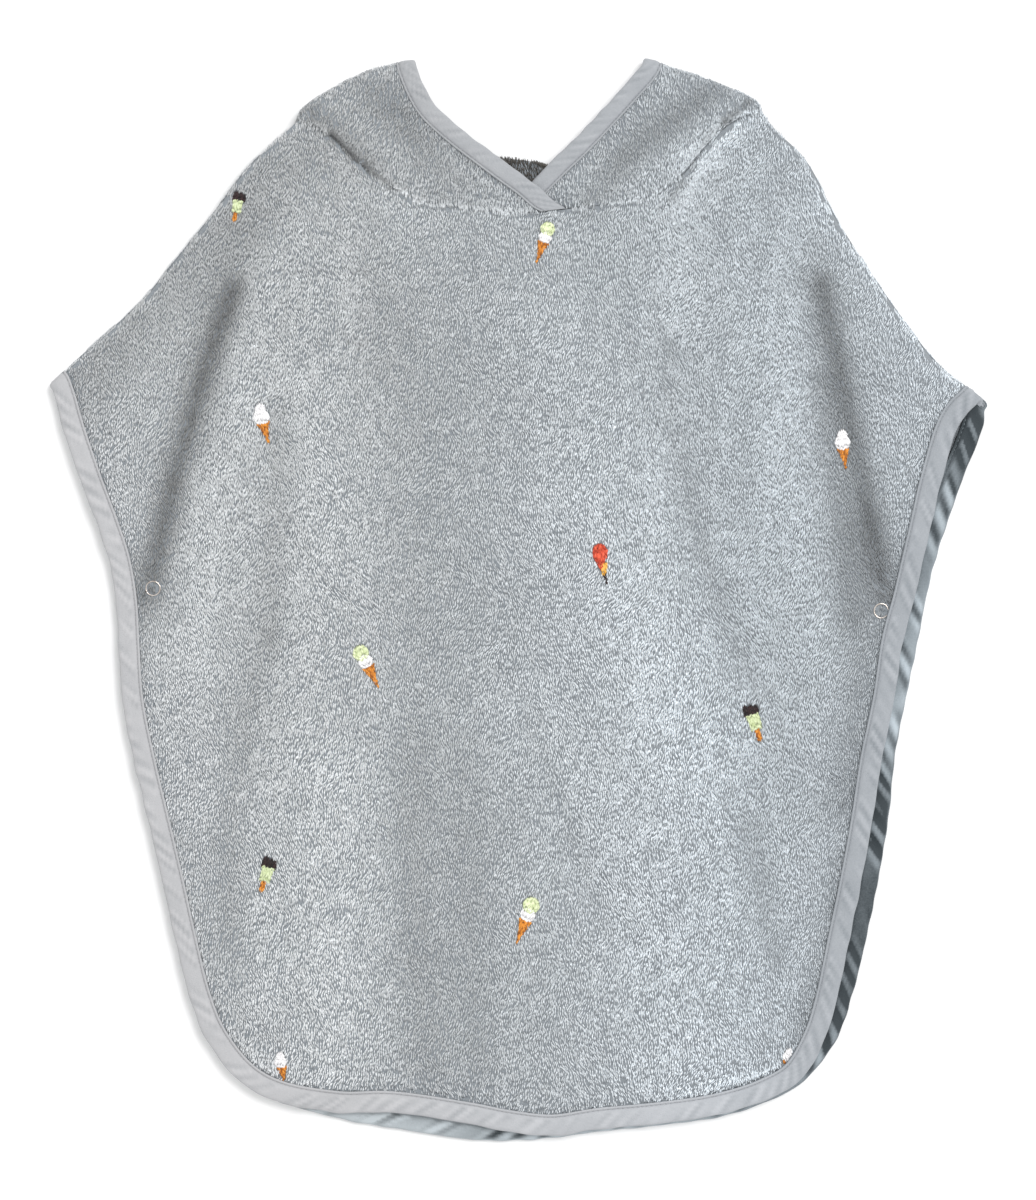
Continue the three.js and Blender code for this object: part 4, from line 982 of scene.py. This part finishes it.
# Hood: two halves of towelling joined down the middle of the back. Each is sewn to the neck, rises as a wing
# at the front, turns over at the top and lies in two flat layers, built as one, under the back panel.
wing_fold_rows = (
    (-70, 302, -42, 272, -14, 256, 7, -1.6),
    (-110, 296, -80, 278, -40, 254, 10, 2.0),
    (119, 309, 96, 291, 55, 263, 7.5, -2.8),
    (124, 298, 104, 275, 74, 258, 7, 1.8),
    (-122, 288, -100, 270, -76, 254, 5, -0.9),
    (-92, 312, -72, 290, -48, 272, 5, -0.8),
    (120, 286, 100, 264, 80, 254, 5, -0.8),
    (96, 318, 80, 300, 58, 284, 5, -0.7),
    (-50, 250, -30, 244, -8, 242, 5, 0.8),
    (52, 246, 66, 250, 84, 262, 5, 0.8),
)
wing_puff = 1.8
hood_layers = 6.6
fold_height = 9.3
hood_columns = 42
wing_rows = 34
turn_rows = 12
nape_share = 0.3043
nape_top = 264
hidden_shares = np.concatenate([
    (0.012,), np.linspace(0.026, nape_share, 9), np.linspace(nape_share, 1, 14)[1:],
])
tucked_end = np.array(((16.5, 236.6, 9.7), (11.9, 238.1, 9.4), (5.3, 245.6, 9.3)))
fold_width = 2.4  # half width of the top fold where it starts at the shoulder


def nearest_share(line, place):
    shares = np.linspace(0, 1, 401)
    return shares[np.argmin(np.linalg.norm(line.at(shares) - np.array(place)[:2], axis=1))]


def seam_places(shares):
    inward = neck_line.inward(shares, -1)
    own = neck_line.at(shares) - inward * seam_gap / 2
    height = level("front", "inner", neck_line.at(shares) + inward * seam_depths[0])
    return np.concatenate([own, height[:, None]], -1)


def hood_grid(side):
    """Middle of a hood half's cloth: wing, turn over the top fold and hidden layers."""
    rows = hood_rows[side]
    sign = -1 if side == "left" else 1
    opening, fold = SewnLine(rows["opening"]), SewnLine(rows["fold"])
    opening_along = opening.along(0.0)
    end_share = nearest_share(neck_line, hood_rows["left"]["opening"][0])
    if side == "left":
        neck_along = neck_line.along(end_share)
        crossing = abs(opening_along[0] * neck_along[1] - opening_along[1] * neck_along[0])
        ends = end_share - np.array(pressing)[::-1] / crossing / neck_line.length
        seam = seam_places(np.concatenate([np.linspace(0, ends[0], hood_columns - 1)[:-1], ends]))
    else:
        stop = end_share + 0.012
        seam = seam_places(np.linspace(1, stop, hood_columns - 3))
        seam[:, 2] = blend(10.6, seam[:, 2], ease((seam[:, 0] - 27) / 20))
        gap = blend(seam[-1], tucked_end[0], 0.5)
        seam = np.vstack([seam, gap[None], tucked_end])
    last = len(seam) - 1
    shares = np.zeros(last + 1)
    for k, depth in enumerate(pressing):
        shares[last - k] = 1 - (edge_inset + depth) / fold.length
    shares[:last - 2] = shares[last - 2] * np.arange(last - 2) / (last - 2)

    def fold_top(u):
        return blend(middles["front"]["inner"] + pad_height, fold_height, ease(u / 0.5))

    turn_radius = blend(fold_width, (fold_top(shares) - terry / 2) / 2, ease(shares / 0.12))
    inward = fold.inward(shares, sign)
    axis = fold.at(shares) + inward * (turn_radius + terry / 2)[:, None]
    top = np.concatenate([axis, fold_top(shares)[:, None]], -1)
    v = np.linspace(0, 1, wing_rows + 1)
    reach = nearest_share(opening, top[last])
    first = unit(opening.inward(np.array(0.0), -sign))
    slant = (seam[last - 1] - seam[last])[:2] / pressing[1] - first
    way = opening.inward(v * reach, -sign) + slant * ease(1 - v / 0.3)[:, None]
    rim_height = blend(rows["opening_height"], fold_height, ease((v - 0.3) / 0.6))
    place = np.zeros((wing_rows + 1, last + 1, 3))
    for i in (last - 2, last - 1, last):
        place[:, i, :2] = opening.at(v * reach) + way * (edge_inset + pressing[last - i])
        plain = blend(seam[i, 2], top[i, 2], v)
        place[:, i, 2] = blend(rim_height, plain, (last - i) / 4)
    inner = place[:, last - 2].copy()
    inner[0], inner[-1] = seam[last - 2], top[last - 2]
    outer = blend(seam[0], top[0], v[:, None])
    u = np.arange(last - 1) / (last - 2)
    body = patch(u, v, seam[:last - 1], top[:last - 1], outer, inner)
    calm = np.sin(np.pi * v)[:, None] ** 0.7 * (ease(u * 3) * ease((1 - u) * 3))[None]
    body[..., 2] += np.maximum(wing_puff + fold_rise(body, wing_fold_rows), -0.6) * calm
    place[:, :last - 1] = body
    place[0], place[-1] = seam, top
    half = np.full(place.shape[:2], terry / 2)
    half[:, last - 1:] = bound_edge / 2
    facing = np.zeros_like(place)
    facing[..., 2] = 1
    grid = [place]
    faced = [facing]
    halves = [half]
    low = np.where(np.arange(last + 1) >= last - 1, 2.25, terry / 2)
    for angle in np.pi * np.arange(1, turn_rows + 1) / turn_rows:
        heights = (top[:, 2] + low) / 2 + (top[:, 2] - low) / 2 * np.cos(angle)
        spot = axis - inward * (turn_radius * np.sin(angle))[:, None]
        grid.append(np.concatenate([spot, heights[:, None]], -1)[None])
        up = np.full((last + 1, 1), np.cos(angle))
        faced.append(unit(np.concatenate([-inward * np.sin(angle), up], -1))[None])
        halves.append(half[-1][None])

    # Hidden layers down the back
    under = grid[-1][0].copy()
    under[:, 2] = 0
    seam_x = hood_middle + sign * seam_gap / 2
    outer_line = SewnLine([under[0], *hidden_side(sign), (hood_middle + sign * crown_half, crown)])
    nape_line = SewnLine([under[last], *rows["nape"], (seam_x, nape_top)])
    v = np.concatenate([[0], hidden_shares])
    u = np.linspace(0, 1, last + 1)
    down_seam = blend(nape_top, crown, np.clip((v - nape_share) / (1 - nape_share), 0, 1))
    inner = np.where(
        (v < nape_share)[:, None], nape_line.at(v / nape_share), np.stack([0 * v + seam_x, down_seam], -1),
    )
    bottom = np.stack([blend(hood_middle + sign * crown_half, seam_x, u), 0 * u + crown], -1)
    flat = patch(u, v, under[:, :2], bottom, outer_line.at(v), inner)[1:]
    thick = np.where(np.arange(len(hidden_shares)) == 0, (terry / 2 + hood_layers / 2) / 2, hood_layers / 2)
    thick = np.repeat(thick[:, None], last + 1, axis=1)
    grid.append(np.concatenate([flat, thick[..., None]], -1))
    downward = np.zeros((*flat.shape[:2], 3))
    downward[..., 2] = -1
    faced.append(downward)
    halves.append(thick)
    way = (grid[0][:, last - 1, :2] - grid[0][:, last, :2]) / pressing[1]
    turned_way = (top[last - 1, :2] - top[last, :2]) / pressing[1]
    return {
        "place": np.vstack(grid),
        "facing": np.vstack(faced),
        "half": np.vstack(halves),
        "way": np.vstack([way, np.tile(turned_way, (turn_rows, 1))]),
    }


hood_grids = {side: hood_grid(side) for side in ("left", "right")}
for side, grid in hood_grids.items():
    shown = wing_rows + turn_rows + 1
    drop = np.zeros(grid["half"].shape)
    drop[:shown] = pile_depth * np.where(grid["half"][:shown] < 1.5, 0, 1)
    outer = grid["place"] + grid["facing"] * (grid["half"] - drop)[..., None]
    lining = grid["place"] - grid["facing"] * grid["half"][..., None]
    half = sew(f"hood_{side}_towelling", *wall(outer, lining), ground)
    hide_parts(f"hood_{side}")
    grid["outer"], grid["lining"] = outer, lining

# Loops of the hood: as the front's on the wings and over the top fold, with the wings' loops painted a
# little darker as shade. The nape, seen in the V of the face opening, is the inside of the hood, and lies in
# shade, painted on its loops as dark brown.
# Painted shade: how much darker each wing's loops are painted
wing_shade = {"left": -0.15, "right": -0.08}
rims = {side: SewnLine(hood_rows[side]["opening"]).at(np.linspace(0, 1, 60)) for side in hood_grids}
for side, grid in hood_grids.items():
    spots, normals = scatter(grid["outer"][:wing_rows + turn_rows - 3], 4)
    kept = distance(spots, rims[side]) > 11.0
    if side == "right":
        kept &= distance(spots, rims["left"]) > 0.3
    spots, normals = spots[kept], normals[kept]
    tone = painted_light_and_shade_at(spots, wing_fold_rows) + wing_shade[side]
    pile(f"hood_{side}_loops", spots, normals, 24, loops, tone=tone)

# Painted shade: a dark brown copy of the towelling loops for the nape
nape_loops = towelling_finish("nape_loops", shade_of(16, 14, 12), shade_of(80, 74, 66))
nape_low, nape_reach = 236, 40
nape_spots, nape_normals = [], []
for grid in hood_grids.values():
    spots, normals = scatter(grid["lining"][wing_rows + turn_rows + 2:], 6)
    kept = (spots[:, 1] > nape_low) & (np.abs(spots[:, 0] - hood_middle) < nape_reach)
    nape_spots.append(spots[kept])
    nape_normals.append(normals[kept])
pile("nape_loops", np.vstack(nape_spots), np.vstack(nape_normals), 25, nape_loops, size=0.9)

# Bindings: bias strips of smooth pale cotton folded over the pressed edges and stitched through near their
# inner edge, which leaves a narrow lip. The strips pucker on the slant.
def cotton_finish(name, dark, light):
    """Plain cotton, painted darker down in its puckers as shade, with the other painted light and shade that
    the mesh keeps.
    """
    finish = Finish(name, Roughness=0.75, Sheen_Weight=0.1)
    tone = finish.kept_in_mesh("pucker") + (finish.noise(900.0, 3.0) + finish.noise(60.0) - 1.0) * 0.22
    finish.wear(
        Base_Color=finish.cooler(finish.between(dark, light, tone)),
        Normal=finish.relief(finish.noise(1500.0, 2.0), 0.0003),
    )
    return finish


binding_cloth = cotton_finish("binding_cotton", shade_of(94, 101, 106), shade_of(184, 184, 186))
# Painted shade: a darker copy of the binding cotton for the back's strip, which lies in the front's shadow
shaded_cotton = cotton_finish("shaded_cotton", shade_of(46, 54, 58), shade_of(182, 189, 193))
# Distance from the fold, and height above the middle of the pressed edge, round the side that shows
binding_face = (
    (11.5, 1.5), (11.4, 2.1), (11.1, 2.45), (10.7, 2.45), (10.3, 2.1), (10.0, 1.5), (9.7, 2.0), (9.2, 2.35),
    (7.6, 2.5), (5.8, 2.55), (4.0, 2.5), (2.4, 2.4), (1.2, 2.2), (0.45, 1.75), (0.1, 0.95), (0.0, 0.0),
)
binding_back = (
    (0.2, -0.7), (0.9, -1.6), (2.6, -2.25), (11.5, -2.25), (11.5, -1.45), (1.5, -1.45), (1.5, 1.3),
)
stitch_place, stitch_pitch = 10.0, 2.9
run_spacing = 1.3
slant_along, slant_across = 1.2, 0.9  # how the puckers lean over the strip's width, and spread over it
far_shade = 0.28  # painted shade: how much darker the strips are painted at the right, where they turn from the light


def edge_run(grid):
    """Places along a panel's pressed edge: down the left side, along the hem and up the right side."""
    arrays = grid["place"], grid["facing"], grid["inner_way"]
    return [np.vstack([array[:, 0], array[-1, 1:-1], array[::-1, -1]]) for array in arrays]


def read_along(travelled, part, stations):
    """Values of a run at other stations along it."""
    return np.stack([np.interp(stations, travelled, column) for column in part.T], -1)


def finer(run, spacing):
    """The same places, facings and ways, at an even spacing."""
    travelled = np.concatenate([[0], np.cumsum(np.linalg.norm(np.diff(run[0], axis=0), axis=1))])
    even = np.linspace(0, travelled[-1], int(travelled[-1] / spacing) + 1)
    fine = [read_along(travelled, part, even) for part in run]
    for _ in range(2):
        for part in fine:
            part[1:-1] = (part[:-2] + 2 * part[1:-1] + part[2:]) / 4
    return fine[0], unit(fine[1]), fine[2], even


def bind(name, run, shown_side, finish, pucker, seed, lightness, depth, wider=1.0, period=10, lit_rows=()):
    """A binding swept along a pressed edge, with its stitches. Its puckers repeat about every period."""
    place, facing, way, even = finer(run, run_spacing)
    way = np.concatenate([way, np.zeros((len(way), 1))], -1)
    profile = np.array([*binding_face, *binding_back]) * (wider, 1)
    across = np.tile(profile[:, 0], (len(even), 1))
    slant = np.stack([even[:, None] - across * slant_along, across * slant_across], -1)
    phase = slant[..., 0] * 2 * np.pi / period + drift(slant, 6 * period, seed) * 1.3
    folds = np.sin(phase) * np.clip(0.45 + 0.55 * drift(slant, 2.4 * period, seed + 1), 0, 1.3)
    waves = folds + drift(slant, 11, seed + 2) * 0.25
    shown = np.arange(len(profile)) < len(binding_face)
    free = ease(profile[:, 0] / 2) * ease((9.6 * wider - profile[:, 0]) / 2.5) * shown
    rise = profile[None, :, 1] + waves * pucker * free[None]
    sway = profile[None, :, 0] + drift(slant, 16, seed + 3) * 0.18 * (profile[:, 0] < 3)[None]
    points = place[:, None] + way[:, None] * (sway - edge_inset)[..., None]
    points = points + facing[:, None] * (rise * shown_side)[..., None]
    index = np.arange(points.shape[0] * points.shape[1]).reshape(points.shape[:2])
    beside = np.roll(index, -1, axis=1)
    sides = quads(index[:-1], beside[:-1], beside[1:], index[1:])
    flat = points.reshape(-1, 3)
    outward = outward_faces(flat, sides)
    first, last = index[:1, ::-1], index[-1:]
    ends = (first, last) if outward is sides else (first[:, ::-1], last[:, ::-1])
    # Painted light and shade, kept under the label pucker: darker in the puckers' hollows and lighter on
    # their crests, in slow uneven changes, darker at the right and lighter or darker along the lit rows
    far_side = ease((flat[:, 0] - 120) / 80) * ease((236 - flat[:, 1]) / 8)
    slow = drift(slant, 60, seed + 4) * depth * 0.5
    tone = (lightness + (np.tanh(folds * 1.3) + slow) * depth * free[None]).ravel()
    tone += fold_rise(flat[:, :2], lit_rows) - far_side * far_shade
    piece = sew(name, flat, outward, finish, {"pucker": tone}, ends)

    draw = np.random.default_rng(seed)
    stations = np.arange(2.0, even[-1] - 2, stitch_pitch)
    stations = stations + draw.uniform(-0.25, 0.25, len(stations))
    faces_up = unit(read_along(even, facing, stations)) * shown_side
    inset = read_along(even, way, stations) * (stitch_place * wider - edge_inset)
    spot = read_along(even, place, stations) + inset + faces_up * 1.8
    count = len(spot)
    stitches = raised_stitches(
        spot, faces_up, unit(np.gradient(spot, axis=0)), np.full(count, 2.3), np.full(count, 0.55),
        np.full(count, 0.4), np.zeros(count), np.full(count, -0.3),
    )
    # Painted shade: the stitches are a little darker than their strip, as shade down the stitched line
    own = np.full(len(stitches[0]), lightness - 0.1)
    thread = sew(f"{name}_stitches", *stitches, finish, {"pucker": own})
    return piece, thread


# The front's strip starts and ends on the back, wrapped round the shoulder fold at each cuff
turned = 5
front_run = [
    np.vstack([back_grid[key][turned:0:-1, 0], front, back_grid[key][1:turned + 1, -1]])
    for key, front in zip(("place", "facing", "inner_way"), edge_run(front_grid))
]
front_binding, front_stitches = bind(
    "front_binding_strip", front_run, 1, binding_cloth,
    pucker=0.4, seed=40, lightness=0.84, depth=0.2, wider=front_binding_width,
)
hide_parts("front_binding")
# Where the back's strip is painted lighter or darker, as light and shade: start, a point on the way, end,
# half width and change
back_lit_rows = (
    (-110, -304, -20, -322, 96, -318, 16, 0.3),
    (254, 72, 246, 26, 234, -60, 14, 0.3),
    (282, 116, 274, 98, 264, 72, 13, -0.3),
    (288, 128, 286, 120, 284, 114, 4, 0.6),
    (212, -175, 206, -205, 194, -250, 12, -0.15),
)
# The back's strip is painted darker still, as shade, by its low lightness
back_binding, back_stitches = bind(
    "back_binding_strip", edge_run(back_grid), -1, shaded_cotton,
    pucker=0.7, seed=50, lightness=0.5, depth=0.5, wider=front_binding_width, period=15,
    lit_rows=back_lit_rows,
)
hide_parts("back_binding")
hood_bindings, hood_stitches = [], []
for seed, (side, grid) in zip((60, 70), hood_grids.items()):
    shown = wing_rows + turn_rows
    run = [grid["place"][:shown, -1], grid["facing"][:shown, -1], grid["way"][:shown]]
    # Painted shade: the hood's strips are the front's cotton, painted darker by a lower lightness
    strip, stitches = bind(
        f"hood_{side}_binding_strip", run, 1, binding_cloth,
        pucker=0.36, seed=seed, lightness=0.62, depth=0.15, period=7,
    )
    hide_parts(f"hood_binding_{side}")
    hood_bindings.append(strip)
    hood_stitches.append(stitches)

# Press studs: plated metal, one at each side, fastened. An open ring holds each half to its panel, pressed
# into the towelling, with the clasp between the panels.
plate = Finish("stud_plate", Metallic=1.0, Roughness=0.24)
plate.wear(Base_Color=plate.between(shade_of(166, 152, 142), shade_of(240, 234, 228), plate.noise(500.0)))
ring_turns, wire_turns = 48, 12


def wire_ring(reach, wire):
    """A round wire bent into a ring about the origin, from its outer and its wire's radius."""
    theta = np.linspace(0, 2 * np.pi, ring_turns, endpoint=False)[:, None]
    phi = np.linspace(0, 2 * np.pi, wire_turns, endpoint=False)[None]
    radius = reach - wire + wire * np.cos(phi)
    ring = np.stack([radius * np.cos(theta), radius * np.sin(theta), wire * np.sin(phi) + 0 * theta], -1)
    index = np.arange(ring_turns * wire_turns).reshape(ring_turns, wire_turns)
    after = np.roll(index, -1, axis=0)
    faces = quads(index, after, np.roll(after, -1, axis=1), np.roll(index, -1, axis=1))
    points = ring.reshape(-1, 3)
    return points, outward_faces(points, faces)


for side in ("left", "right"):
    for part in ("front_ring", "back_ring"):
        node = f"stud_{side}_{part}"
        low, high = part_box(node)
        middle = (np.array(low) + np.array(high)) / 2
        points, faces = wire_ring((high.x - low.x) / 2 * 1000, (high.z - low.z) / 2 * 1000)
        piece = sew(f"{node}_wire", points + middle * 1000 - to_frame, faces, plate)
        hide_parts(node)
    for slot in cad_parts[f"stud_{side}_clasp"].material_slots:
        slot.material = plate.material

# Floor, light and camera: the poncho lies face up on a pale floor and is seen from straight above, in plain
# soft light that comes a little from the upper right.
floor_half, floor_drop = 6, 0.0002
floor_corners = [(x * floor_half, y * floor_half, 0) for x, y in ((-1, -1), (1, -1), (1, 1), (-1, 1))]
floor_mesh = bpy.data.meshes.new("floor")
floor_mesh.from_pydata(floor_corners, [], [(0, 1, 2, 3)])
floor = bpy.data.objects.new("floor", floor_mesh)
floor.location.z = -floor_drop
bpy.context.scene.collection.objects.link(floor)
paper = Finish("floor_paper", Roughness=0.9)
paper.wear(Base_Color=paper.between((0.93, 0.93, 0.93, 1), (0.96, 0.96, 0.96, 1), paper.noise(3.0)))
floor_mesh.materials.append(paper.material)

room_light = 0.92
world = bpy.data.worlds.new("studio")
world.use_nodes = True
background = world.node_tree.nodes["Background"]
background.inputs["Color"].default_value = (1, 1, 1, 1)
background.inputs["Strength"].default_value = room_light
bpy.context.scene.world = world
bpy.context.scene.view_settings.view_transform = "Standard"


def lamp(name, place, size, power):
    light = bpy.data.lights.new(name, "AREA")
    light.shape = "DISK"
    light.size = size
    light.energy = power
    holder = bpy.data.objects.new(name, light)
    bpy.context.scene.collection.objects.link(holder)
    holder.location = place
    aim = -holder.location.normalized()
    holder.rotation_euler = aim.to_track_quat("-Z", "Y").to_euler()


lamp("key", (1.8, 1.7, 4.3), 2.4, 134)

camera = bpy.data.cameras.new("camera")
viewer = bpy.data.objects.new("camera", camera)
bpy.context.scene.collection.objects.link(viewer)
picture_height = 0.72  # metres at the garment, 1200 pixels of 0.6 millimetres
camera_height = 2.2  # metres over the front panel's face
panel_face = 0.012
camera.sensor_width = 36
camera.lens = camera.sensor_width * camera_height / picture_height
camera.clip_end = 20
viewer.location = (to_frame[0] / 1000, to_frame[1] / 1000, camera_height + panel_face)
bpy.context.scene.camera = viewer
